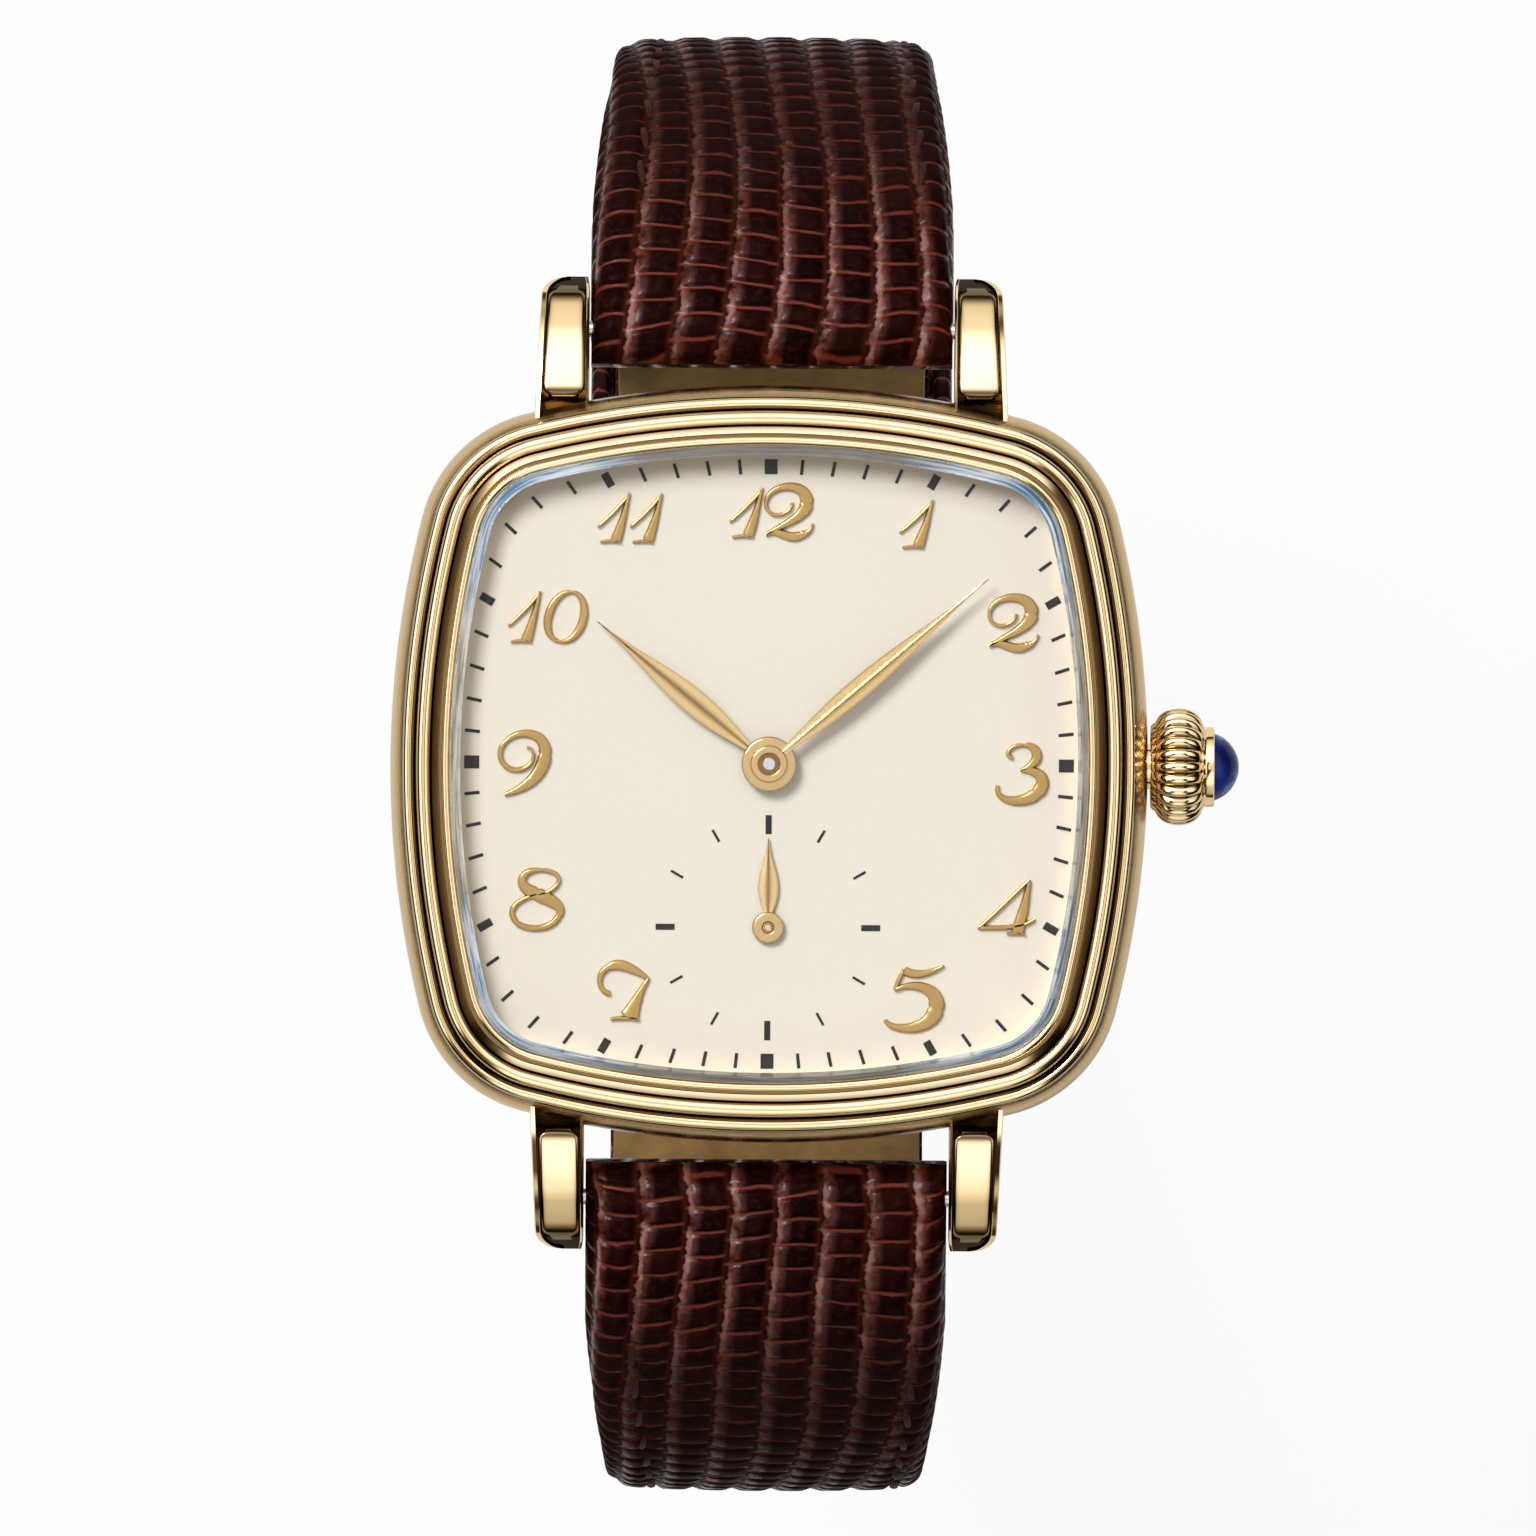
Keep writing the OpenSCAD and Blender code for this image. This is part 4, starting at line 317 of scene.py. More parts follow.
def dial_grain():
    """Ivory with a fine grain, a painted shadow of the bezel along the top and left edges, most along the
    top, and a painted cool shade along the bottom and right edges.
    """
    p = Paint("dial_ivory", Specular_IOR_Level=0.25)
    grain = p.noise(5200, 5)
    ivory = p.blend(grain * 0.6 + p.noise(90, 3) * 0.4, (0.84, 0.78, 0.66), (0.895, 0.84, 0.715))
    x, y, _ = p.xyz()
    bow_x, bow_y = x * x * 11.0, y * y * 11.0
    # painted cool shade along the bottom and right edges, against the yellow light the bezel throws there
    foot = (bow_x - y).math("MAXIMUM", bow_y + x)
    # painted shadow of the bezel along the top edge and, weaker, the left edge
    near = (y + bow_x).step(0.0132, 0.0152, 0.0, 0.5) + (bow_y - x).step(0.0138, 0.0151, 0.0, 0.2)
    ivory = p.blend(foot.step(0.0118, 0.0152, 0.0, 0.17), ivory, (0.3, 0.33, 0.52))
    return p.finish(p.blend(near, ivory, (0.13, 0.11, 0.085)), (grain, 0.4, 0.55), (grain, 0.006, 0.35))


def glass():
    p = Paint("crystal_clear", IOR=1.2, Transmission_Weight=1)
    return p.finish((0.98, 0.99, 1.0), Roughness=p.noise(40, 3).span(0.45, 0.8, 0.0, 0.015))


def ground_glass():
    """The crystal's ground edge: a warm grey ring with painted shade at the top and bottom and painted pale
    blue reflection streaks at the corners.
    """
    p = Paint("crystal_edge", IOR=1.5, Coat_Weight=0.4, Coat_Roughness=0.05, Transmission_Weight=0.35)
    streak = p.noise(1.0, 4, (0.3, 6, 1), p.attribute("flow"))
    x, y, _ = p.xyz()
    corner = (x * y * 2.0).math("ABSOLUTE") / (x * x + y * y)
    grey = p.blend(streak.span(0.36, 0.62), (0.34, 0.32, 0.28), (0.85, 0.82, 0.74))
    # painted reflection: pale blue-white streaks, laid on the ring's corners below
    blue = p.blend(streak.span(0.4, 0.6), (0.1, 0.24, 0.44), (0.86, 0.94, 1.0))
    # painted shade along the top of the ring, and lighter painted shade along its bottom
    grey = p.blend(y.span(0.0105, 0.0135, 0.0, 0.8), grey, (0.12, 0.105, 0.09))
    grey = p.blend(y.span(-0.0142, -0.0118, 0.55, 0.0), grey, (0.1, 0.085, 0.07))
    return p.finish(p.blend(corner.span(0.7, 0.93), grey, blue), (streak, 0.08, 0.2))


GOLDEN_SHARE = 0.618034  # shifts each column of scales against the last


def leather():
    """Glazed lizard: columns of dark scales between thin lines, each column with a glossy red ridge, a
    painted pale highlight on the ridge's crest near the case, and painted shade where the strap bends down
    beyond the lugs.
    """
    p = Paint("lizard", IOR=1.2)
    across, along, _ = p.split(p.attribute("skin"))
    across = across + ((p.noise(420, 3) - 0.5) * 0.16 + (p.noise(1500, 2) - 0.5) * 0.1)
    column = across.math("FLOOR")
    row = along + (column * GOLDEN_SHARE).math("FRACT") + (p.noise(260, 2) - 0.5) * 0.6
    fu, fv = across.math("FRACT"), row.math("FRACT")
    du = fu.math("MINIMUM", 1.0 - fu) * 2.2
    dv = fv.math("MINIMUM", 1.0 - fv) * 1.3
    fine = p.noise(2600, 4)
    pebble = (fine - 0.5) * 0.5
    ragged = fu + pebble * 0.4
    ridge = ragged.step(0.05, 0.13) * ragged.step(0.24, 0.44, 1.0, 0.0)
    # painted highlight: a pale pink streak along each ridge's crest
    painted_crest_highlight = ragged.step(0.07, 0.12) * ragged.step(0.15, 0.26, 1.0, 0.0) * p.noise(520, 3).span(0.4, 0.62)
    furrow = (du + pebble * 0.4).step(0.04, 0.2, 1.0, 0.0)
    line = (dv + pebble * 0.25).step(0.03, 0.12, 1.0, 0.0)
    scale = p.add("CombineXYZ", column, row.math("FLOOR"), 0.0).outputs[0]
    dark = p.blend(p.add("TexWhiteNoise", scale).outputs[0], (0.006, 0.0012, 0.001), (0.016, 0.003, 0.0022))
    dark = p.blend(fine.span(0.5, 0.8), dark, (0.036, 0.0065, 0.0045))
    red = p.blend(fine.span(0.36, 0.7), (0.034, 0.005, 0.003), (0.15, 0.034, 0.022))
    # 1 near the case, falling where the strap bends down: it keeps the painted highlight near the case and
    # lays painted shade on the far leather
    painted_light_near_case = p.xyz()[1].math("ABSOLUTE").step(0.024, 0.033, 1.0, 0.12)
    color = dark
    # the last two blends are the painted highlight on the crests and painted shade on the far leather
    for share, shade in ((ridge * 0.85, red), (line * 0.9, (0.155, 0.025, 0.013)),
                         (furrow * 0.85, (0.04, 0.006, 0.003)), (painted_crest_highlight * painted_light_near_case * 0.75, (0.4, 0.2, 0.17)),
                         (painted_light_near_case.span(0.12, 1.0, 0.6, 0.0), (0.017, 0.007, 0.006))):
        color = p.blend(share, color, shade)
    shine = ridge.math("MAXIMUM", line).span(0.0, 1.0, 0.06, 0.7) * painted_light_near_case
    return p.finish(color, None, (du.step(0.0, 0.6) * dv.step(0.0, 0.3), 0.16, 0.8), (fine, 0.045, 0.6),
                    Specular_IOR_Level=shine, Roughness=(fine - ridge * 0.2).span(0.2, 0.7, 0.14, 0.4))


def lining():
    p = Paint("lining_hide", Sheen_Weight=0.08, Specular_IOR_Level=0.15)
    grain, cloud = p.noise(1500, 6), p.noise(330, 5, (1, 0.4, 1)).span(0.3, 0.7)
    return p.finish(p.blend(grain * 0.5 + cloud * 0.5, (0.07, 0.037, 0.011), (0.3, 0.175, 0.055)),
                    (grain, 0.6, 0.85), (grain, 0.05, 0.5))


def lapis():
    p = Paint("lapis", IOR=1.35, Specular_IOR_Level=0.3)
    vein = p.noise(520, 6)
    blue = p.blend(vein.span(0.35, 0.65), (0.005, 0.01, 0.085), (0.022, 0.055, 0.36))
    pale = p.blend(p.noise(700, 3).span(0.58, 0.72), blue, (0.2, 0.3, 0.5))
    return p.finish(p.blend(p.noise(2600, 2).span(0.70, 0.74), pale, (0.55, 0.42, 0.14)), (vein, 0.14, 0.3),
                    (vein, 0.01, 0.25))


def steel():
    p = Paint("steel_bright", Metallic=1)
    return p.finish(p.blend(p.noise(300, 2), (0.54, 0.54, 0.55), (0.66, 0.66, 0.67)),
                    (p.noise(1800, 4, (1, 6, 1)), 0.16, 0.34), (p.noise(2600, 3, (1, 8, 1)), 0.003, 0.3))


STRIPE_WIDTH, PEARL_PITCH = 1.5, 1.1


def striped_plate():
    """Rhodium-plated bridges with broad straight stripes, each brushed across."""
    p = Paint("plate_striped", Metallic=1)
    x, y, _ = p.xyz()
    stripe = ((x * 0.5 + y * 0.866) / (STRIPE_WIDTH * MM)).math("FRACT")
    lines = p.noise(1, 3, (5200, 900, 1))
    return p.finish(p.blend(stripe, (0.44, 0.43, 0.41), (0.82, 0.81, 0.79)), None, (stripe, 0.02, 0.35),
                    (lines, 0.004, 0.4), Roughness=(stripe + lines * 0.6).span(0.2, 1.5, 0.14, 0.42))


def pearled_plate():
    """Rhodium-plated mainplate with round graining, spot by spot."""
    p = Paint("plate_pearled", Metallic=1)
    cell = p.add("TexVoronoi", p.place())
    cell.inputs["Scale"].default_value = 1 / (PEARL_PITCH * MM)
    away = Value(p, cell.outputs["Distance"])
    rings = (away * 60.0).math("SINE")
    return p.finish(p.blend(away.span(0.0, 0.6), (0.5, 0.49, 0.48), (0.74, 0.73, 0.72)), None,
                    (rings, 0.004, 0.35), Roughness=rings.span(-1.0, 1.0, 0.18, 0.38))


def wheel_metal(name, centre, pinion_radius, dark=(0.68, 0.48, 0.2), light=(0.82, 0.62, 0.3)):
    """A wheel with turned graining, of brass unless told otherwise, whose pinion is steel."""
    p = Paint(name, Metallic=1)
    rings, away = p.rings(9000, 2, centre)
    wheel = away.span((pinion_radius - 0.01) * MM, (pinion_radius + 0.01) * MM)
    return p.finish(p.blend(wheel, (0.6, 0.6, 0.61), p.blend(rings, dark, light)), (rings, 0.18, 0.36),
                    (rings, 0.004, 0.4))


def ruby():
    p = Paint("ruby_stone", IOR=1.76, Coat_Weight=0.5, Coat_Roughness=0.05, Transmission_Weight=0.4)
    return p.finish(p.blend(p.noise(1800, 3), (0.42, 0.006, 0.04), (0.68, 0.02, 0.09)),
                    (p.noise(900, 2), 0.06, 0.16))


def brushed_back():
    """Gold of the case back, brushed in circles round its window."""
    p = Paint("gold_turned", Metallic=1)
    rings, _ = p.rings(7000, 3, height=1.0)
    return p.finish(p.blend(rings, (0.76, 0.54, 0.27), (0.9, 0.69, 0.41)), (rings, 0.2, 0.36),
                    (rings, 0.005, 0.4))


GOLD, CLEAR, EDGE, IVORY = polished_gold(), glass(), ground_glass(), dial_grain()
SATIN = grained("gold_satin", 1.0, 4, (0.44, 0.28, 0.11), (0.84, 0.62, 0.33), (0.14, 0.26), (0.02, 0.5),
                stretch=(0.06, 26, 1), along="flow", Metallic=1)
MATT = matt_gold("gold_matt", (0.47, 0.29, 0.1), (0.57, 0.37, 0.14))
FACET = matt_gold("gold_facet", (0.8, 0.555, 0.26), (0.85, 0.61, 0.31))
INK = grained("ink_charcoal", 5000, 3, (0.014, 0.012, 0.012), (0.028, 0.025, 0.024), (0.45, 0.65),
              (0.004, 0.3), Specular_IOR_Level=0.15)
THREAD = grained("thread", 3000, 3, (0.012, 0.003, 0.002), (0.06, 0.014, 0.009), relief=(0.04, 0.6),
                 Roughness=0.6, Specular_IOR_Level=0.1)
BLUED = grained("steel_blued", 500, 3, (0.02, 0.04, 0.22), (0.05, 0.1, 0.42), (0.16, 0.3), Metallic=1)
RUBBER = grained("rubber_seal", 2400, 4, (0.01, 0.01, 0.011), (0.03, 0.03, 0.031), (0.5, 0.75), (0.01, 0.4),
                 Specular_IOR_Level=0.3)
LEATHER, LINING, LAPIS, RUBY = leather(), lining(), lapis(), ruby()
STEEL, STRIPED, PEARLED, TURNED = steel(), striped_plate(), pearled_plate(), brushed_back()


# ---- mesh building

class Form:
    """Vertices in millimetres and faces, gathered grid by grid, with a mark of three numbers for each vertex.

    Two numbers of a mark say where in its pattern a place lies, and the third how much painted shade darkens
    it.
    """

    def __init__(self):
        self.points, self.marks, self.faces, self.paints, self.count = [], [], [], [], 0

    def grid(self, points, ring_rows=False, paint=0, marks=None, depths=0.0, caps=False):
        """A net of quads over an array of rows by columns of points; each row closes on itself."""
        points = np.asarray(points, float)
        rows, columns = points.shape[:2]
        a, b = np.meshgrid(np.arange(rows if ring_rows else rows - 1), np.arange(columns), indexing="ij")
        c, d = (a + 1) % rows, (b + 1) % columns
        quads = np.stack([a * columns + b, c * columns + b, c * columns + d, a * columns + d], -1)
        faces = (quads.reshape(-1, 4) + self.count).tolist()
        if caps:
            faces.append([self.count + k for k in range(columns)])
            faces.append([self.count + (rows - 1) * columns + k for k in reversed(range(columns))])
        self.faces += faces
        self.paints += [paint] * len(faces)
        self.points.append(points.reshape(-1, 3))
        if marks is None:
            marks = np.zeros((rows, columns, 3))
            marks[..., 2] = depths
        self.marks.append(np.asarray(marks, float).reshape(-1, 3))
        self.count += rows * columns

    def build(self, name, body, paints, swaps=(), mark="flow", sharp=35, smooth=True):
        mesh = bpy.data.meshes.new(name)
        mesh.from_pydata((np.vstack(self.points) * MM).tolist(), [], self.faces)
        for paint in paints:
            mesh.materials.append(paint)
        mesh.polygons.foreach_set("material_index", self.paints)
        marks = mesh.attributes.new(mark, "FLOAT_VECTOR", "POINT")
        marks.data.foreach_set("vector", np.vstack(self.marks).astype(np.float32).ravel())
        work = bmesh.new()
        work.from_mesh(mesh)
        bmesh.ops.remove_doubles(work, verts=work.verts, dist=1e-7)
        bmesh.ops.dissolve_degenerate(work, edges=work.edges, dist=1e-8)
        bmesh.ops.recalc_face_normals(work, faces=work.faces)
        work.to_mesh(mesh)
        work.free()
        if smooth:
            mesh.polygons.foreach_set("use_smooth", [True] * len(mesh.polygons))
            mesh.set_sharp_from_angle(angle=radians(sharp))
        mesh.update()
        piece = put(name, mesh)
        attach(piece, body)
        if swaps:
            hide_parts(*swaps)
        return piece


def arc(centre, radius, start, end, steps):
    a = np.radians(np.linspace(start, end, steps + 1))
    return [(centre[0] + radius * c, centre[1] + radius * s) for c, s in zip(np.cos(a), np.sin(a))]


def circle(steps):
    return np.linspace(0, 2 * pi, steps, endpoint=False)


def toward(a):
    """The direction at an angle in radians, and the one a quarter turn on."""
    return np.array([cos(a), sin(a)]), np.array([-sin(a), cos(a)])


def rounded(t, power=2):
    """A round shoulder: 0 up to 0, steep at first, and 1 from 1 on."""
    return sqrt(1 - (1 - min(max(t, 0.0), 1.0)) ** power)


def ease(x, low, high):
    t = np.clip((x - low) / (high - low), 0, 1)
    return t * t * (3 - 2 * t)


def bezier(t, *points):
    """A point of a Bezier curve of two, three or four control values."""
    while len(points) > 1:
        points = [(1 - t) * a + t * b for a, b in zip(points, points[1:])]
    return points[0]


# The case's cushion outline: four bowed sides and four round corners.
SIDE_RADIUS, SIDE_CENTRE, SIDE_ANGLE, SIDE_STEPS = 50, 31.25, 14.08, 72
CORNER_RADIUS, CORNER_CENTRE, CORNER_STEPS = 7, 10.459, 36


def cushion(inset):
    """Points of the case's cushion outline, moved inwards."""
    a = np.radians(np.linspace(-SIDE_ANGLE, SIDE_ANGLE, SIDE_STEPS, endpoint=False))
    b = np.radians(np.linspace(SIDE_ANGLE, 90 - SIDE_ANGLE, CORNER_STEPS, endpoint=False))
    side = (SIDE_RADIUS - inset) * np.stack([np.cos(a), np.sin(a)], -1) - (SIDE_CENTRE, 0)
    corner = CORNER_CENTRE + (CORNER_RADIUS - inset) * np.stack([np.cos(b), np.sin(b)], -1)
    quarter = np.vstack([side, corner])
    return np.vstack([quarter @ np.array([[c, s], [-s, c]]) for c, s in ((1, 0), (0, 1), (-1, 0), (0, -1))])


def round_cushion(section, depths=None):
    """Rows of points and marks of a section of (inset, height) that runs round the cushion."""
    rows, marks, run = [], [], 0.0
    for k, (inset, height) in enumerate(section):
        flat = cushion(inset)
        level = np.ones(len(flat))
        rows.append(np.column_stack([flat, level * height]))
        if k:
            run += dist(section[k - 1], section[k])
        round_way = np.concatenate([[0], np.cumsum(np.linalg.norm(np.diff(flat, axis=0), axis=1))])
        marks.append(np.column_stack([round_way, level * run, level * (depths[k] if depths else 0.0)]))
    return rows, marks


def ring_piece(name, finish, node, section, depths=None):
    form = Form()
    rows, marks = round_cushion(section, depths)
    form.grid(rows, ring_rows=True, marks=marks)
    form.build(name, "case", [finish], [node], sharp=40)


# ---- case, bezel and crystal

Z_BACK, Z_BAND, Z_DIAL = 1.3, 6.9, 6.6


def make_case():
    outer = [(0.9 * (2 * t - 1) ** 4, Z_BACK + 0.25 + 5.25 * t) for t in np.linspace(0, 1, 30)]
    inner = [(1.0, 6.88), (1.15, Z_BAND), (3.25, Z_BAND), (3.25, 1.9), (4.8, 1.9), (4.8, Z_BACK)]
    ring_piece("case_shell", SATIN, "case_band", [(1.15, Z_BACK)] + outer + inner)


LUG_ROOT, LUG_END, LUG_INNER, LUG_OUTER, LUG_FOOT = 16.3, 24.1, 9.05, 11.75, 23.6
LUG_TURN, LUG_FALL = 23.1, 1.25  # where the end begins to round off, and by how much
PANEL_START, PANEL_END, PANEL_SINK, PANEL_FILLET = 17.95, 23.62, 0.22, 0.2


def lug_top(y):
    """Height of a lug's top along its length."""
    t = np.linspace(0, 1, 200)
    return np.interp(y, bezier(t, LUG_ROOT, 21.7, LUG_END), bezier(t, 6.3, 6.4, 2.7))


def lug_bottom(y):
    t = min(max((LUG_FOOT - y) / (LUG_FOOT - LUG_ROOT), 0.0), 1.0)
    return 0.5 + (y - LUG_FOOT) * 1.6 if y > LUG_FOOT else 0.5 + t * t


def lug_line(y):
    """Points (x, z, painted shade) round a lug at y: a raised rim round a pillowed panel whose ends fall
    away.
    """
    fall = min(max(0.0, y - LUG_TURN), 1.0)
    outer = LUG_OUTER - 0.045 * (y - LUG_ROOT) - LUG_FALL * (1 - rounded(1 - fall, 2.2))
    near = LUG_INNER + 0.12 * (1 - rounded(1 - fall))
    top, low = lug_top(y) - 0.01, lug_bottom(y)
    rim, lip = min(0.26, (outer - near) * 0.14), min(0.14, (outer - near) * 0.1)
    end = min((y - PANEL_START) / 0.62, (PANEL_END - y) / 0.42)
    floor = top - PANEL_SINK - min(0.9, max(0.0, 18.5 - y))
    left, right = near + lip + 0.05, outer - rim - 0.06
    middle, reach, inset = (left + right) / 2, (right - left) / 2, 0.3 * (1 - rounded(end - 0.5, 3))
    line = [(near + 0.1, low), (near, low + 0.15), (near, top - 0.2), (near + 0.03, top - 0.06),
            (near + lip - 0.02, top), (near + lip, top - 0.02), (near + lip + 0.03, floor)]
    for u in np.linspace(-1, 1, 25):
        spot = middle + (reach - inset) * sin(u * pi / 2)
        edge = min(reach - inset - abs(spot - middle), PANEL_FILLET) / PANEL_FILLET
        crown = rounded(edge) * rounded(end) - 0.12 * (u * u)
        line.append((spot, max(floor, floor + (top - floor - 0.02) * crown)))
    line += [(outer - rim - 0.03, floor), (outer - rim, top - 0.02), (outer - rim + 0.02, top),
             (outer - 0.05, top - 0.05), (outer, top - 0.2), (outer, low + 0.15), (outer - 0.1, low)]
    marked = []
    for x, z in line:
        # painted shade where the surface lies below the top, in the sunk panel and its walls
        dark = min(1.0, 8 * max(0.0, top - z - 0.08)) if near < x < outer and z > low + 0.3 else 0.0
        # painted shade round the panel's edges and ends
        if left <= x <= right:
            to_edge = min(x - left - inset, right - inset - x, y - 18.4, 23.3 - y)
            dark = max(dark, 0.85 * exp(-(max(0.0, to_edge) / 0.2) ** 2))
        marked.append((x, z, dark))
    return marked


def make_lugs():
    form = Form()
    lengths = np.concatenate([np.linspace(LUG_ROOT, 17.8, 4), np.linspace(17.88, 19.0, 17),
                              np.linspace(19.3, 22.7, 10), np.linspace(22.85, LUG_END, 26)])
    lines = [(y, lug_line(y)) for y in lengths]
    for sx in (1, -1):
        for sy in (1, -1):
            form.grid([[(sx * x, sy * y, z) for x, z, _ in line] for y, line in lines], caps=True,
                      depths=[[dark for _, _, dark in line] for _, line in lines])
    form.build("case_lugs", "case", [GOLD], sharp=32)


def make_bezel():
    """The stepped bezel; the grooves between its beads, at these insets and of these widths, are painted dark
    as shade.
    """
    section = [(0.6, 6.9), (0.6, 7.26), (0.63, 7.3)]
    section += arc((0.93, 7.52), 0.3, 188, 8, 24) + [(1.26, 7.62)] + arc((1.66, 8.08), 0.36, 202, 5, 28)
    section += [(2.05, 8.2), (2.09, 8.27), (2.4, 8.33), (2.45, 8.28), (2.46, 8.15), (2.56, 8.15), (2.58, 8.4)]
    section += arc((2.77, 8.46), 0.19, 180, 0, 16)
    section += [(2.96, 7.9), (3.5, 7.9), (3.5, 6.62), (3.27, 6.62), (3.27, 6.9)]
    grooves = [(0.62, 0.07), (1.27, 0.11), (2.05, 0.09), (2.51, 0.1)]
    depths = [max(max(0.0, 1 - abs(inset - at) / width) ** 0.5 for at, width in grooves)
              for inset, _ in section]
    ring_piece("bezel_stepped", GOLD, "bezel", section, depths)


def make_crystal():
    form = Form()
    wall = [(2.98, 8.0), (2.98, 8.58), (3.0, 8.62)]
    chamfer = [(3.0, 8.62), (3.06, 8.68), (3.42, 8.96), (3.5, 9.0)]
    dome = [(3.5 + 0.45 * k, 9.0 + 0.2 * sin(k / 6 * pi / 2)) for k in range(7)]
    for section, paint in ((wall, 1), (chamfer, 1), (dome, 0)):
        rows, marks = round_cushion(section)
        form.grid(rows, marks=marks, paint=paint)
    count = len(rows[0])
    form.faces += [list(range(count))[::-1], list(range(form.count - count, form.count))]
    form.paints += [0, 0]
    crystal = form.build("crystal_sapphire", "case", [CLEAR, EDGE], ["crystal"], sharp=20)
    crystal.visible_shadow = crystal.visible_diffuse = False


# ---- dial

TRACK_SIDE, TRACK_ANGLE, TRACK_CORNER, TRACK_BEND = 45.9, 35.7, 8.765, 4.9
TICK_LENGTH, QUARTER_WIDTH, HOUR_WIDTH, MINUTE_WIDTH = 0.74, 0.64, 0.4, 0.165
SECONDS_SPOT, SECONDS_RIM = np.array([0, -8.08]), 5.55


def track_point(angle):
    """Where the minute track crosses the ray at this angle: a cushion with rounder corners than the case."""
    a = radians((angle + 45) % 90 - 45)
    if abs(degrees(a)) <= TRACK_ANGLE:
        centre, radius = np.array([-SIDE_CENTRE, 0.0]), TRACK_SIDE
    else:
        centre, radius = np.array([TRACK_CORNER, copysign(TRACK_CORNER, a)]), TRACK_BEND
    way, _ = toward(a)
    reach = way @ centre + sqrt((way @ centre) ** 2 - centre @ centre + radius ** 2)
    return toward(radians(angle))[0] * reach


def add_tick(form, place, angle, length, width):
    """A thin printed block that points along the angle."""
    out, aside = toward(radians(angle))
    corners = [place + out * l * length / 2 + aside * w * width / 2
               for l, w in ((-1, -1), (1, -1), (1, 1), (-1, 1))]
    form.grid([[(*c, Z_DIAL + lift) for c in corners] for lift in (-0.01, 0.02)], caps=True)


def make_tracks():
    form = Form()
    for minute in range(60):
        angle = 90 - 6 * minute
        width = QUARTER_WIDTH if minute % 15 == 0 else HOUR_WIDTH if minute % 5 == 0 else MINUTE_WIDTH
        add_tick(form, track_point(angle), angle, TICK_LENGTH, width)
    form.build("minute_track", "case", [INK], smooth=False)
    form = Form()
    for tick in range(12):
        inner, width = (4.86, 0.13) if tick % 3 else (4.61, 0.3)
        way, _ = toward(radians(30 * tick))
        add_tick(form, SECONDS_SPOT + way * (inner + SECONDS_RIM) / 2, 30 * tick, SECONDS_RIM - inner, width)
    form.build("seconds_track", "case", [INK], smooth=False)


# Each stroke of a numeral, in hundredths: four control points in its box, then its width at the start,
# middle and end.
ONE = [(97, 99, 86, 70, 74, 36, 55, 4, 5, 20, 30), (0, 32, 20, 42, 60, 66, 90, 90, 4, 9, 7),
       (8, 2, 30, 5, 45, 5, 70, 2, 4, 7, 4)]
TWO = [(57, 70, 55, 42, 6, 36, 5, 68, 5, 7, 7), (5, 68, 5, 108, 88, 116, 86, 70, 7, 12, 26),
       (86, 70, 82, 40, 38, 28, 5, 6, 26, 14, 7), (5, 8, 30, 22, 48, -6, 76, 7, 6, 20, 16),
       (76, 7, 88, 10, 96, 18, 98, 30, 16, 6, 3)]
THREE = [(34, 76, 16, 80, 30, 100, 57, 98, 8, 6, 5), (57, 98, 86, 98, 94, 66, 50, 54, 5, 30, 5),
         (50, 54, 86, 58, 106, 36, 80, 14, 5, 26, 22), (80, 14, 56, -6, -2, -2, 7, 28, 22, 12, 7)]
FOUR = [(87, 99, 60, 70, 30, 38, 2, 12, 5, 5, 6), (2, 13, 35, 15, 75, 10, 96, 30, 7, 9, 5),
        (87, 99, 82, 65, 76, 36, 67, 4, 5, 16, 20), (50, 3, 60, 4, 70, 4, 80, 3, 4, 6, 4)]
FIVE = [(36, 96, 30, 84, 24, 74, 20, 60, 5, 7, 6), (34, 92, 50, 82, 74, 84, 100, 100, 13, 14, 3),
        (20, 60, 44, 76, 96, 66, 88, 32, 5, 14, 26), (88, 32, 80, -6, 10, -6, 4, 14, 26, 12, 6)]
SEVEN = [(24, 47, 4, 46, -6, 80, 20, 92, 10, 7, 12), (20, 92, 42, 104, 66, 90, 97, 73, 12, 24, 5),
         (95, 72, 80, 50, 70, 25, 60, 5, 6, 14, 34), (25, 3, 40, 5, 60, 5, 79, 3, 4, 8, 4)]
EIGHT = [(59, 98, 20, 100, 6, 72, 50, 58, 6, 14, 22), (50, 58, 84, 47, 104, 36, 92, 22, 22, 20, 12),
         (92, 22, 78, -4, 30, -2, 14, 10, 12, 8, 10), (14, 10, -6, 30, 6, 46, 50, 58, 10, 10, 5),
         (55, 57, 100, 66, 108, 96, 59, 98, 5, 10, 6)]
NINE = [(56, 77, 78, 74, 70, 40, 34, 41, 4, 7, 8), (34, 41, 8, 42, -4, 70, 16, 86, 8, 10, 8),
        (16, 86, 40, 108, 94, 102, 90, 66, 8, 10, 24), (90, 66, 86, 34, 56, 12, 14, 2, 24, 22, 5)]
ZERO = [(62, 98, 18, 100, -10, 10, 40, 3, 5, 26, 5), (40, 3, 86, 0, 108, 90, 62, 98, 5, 26, 5)]
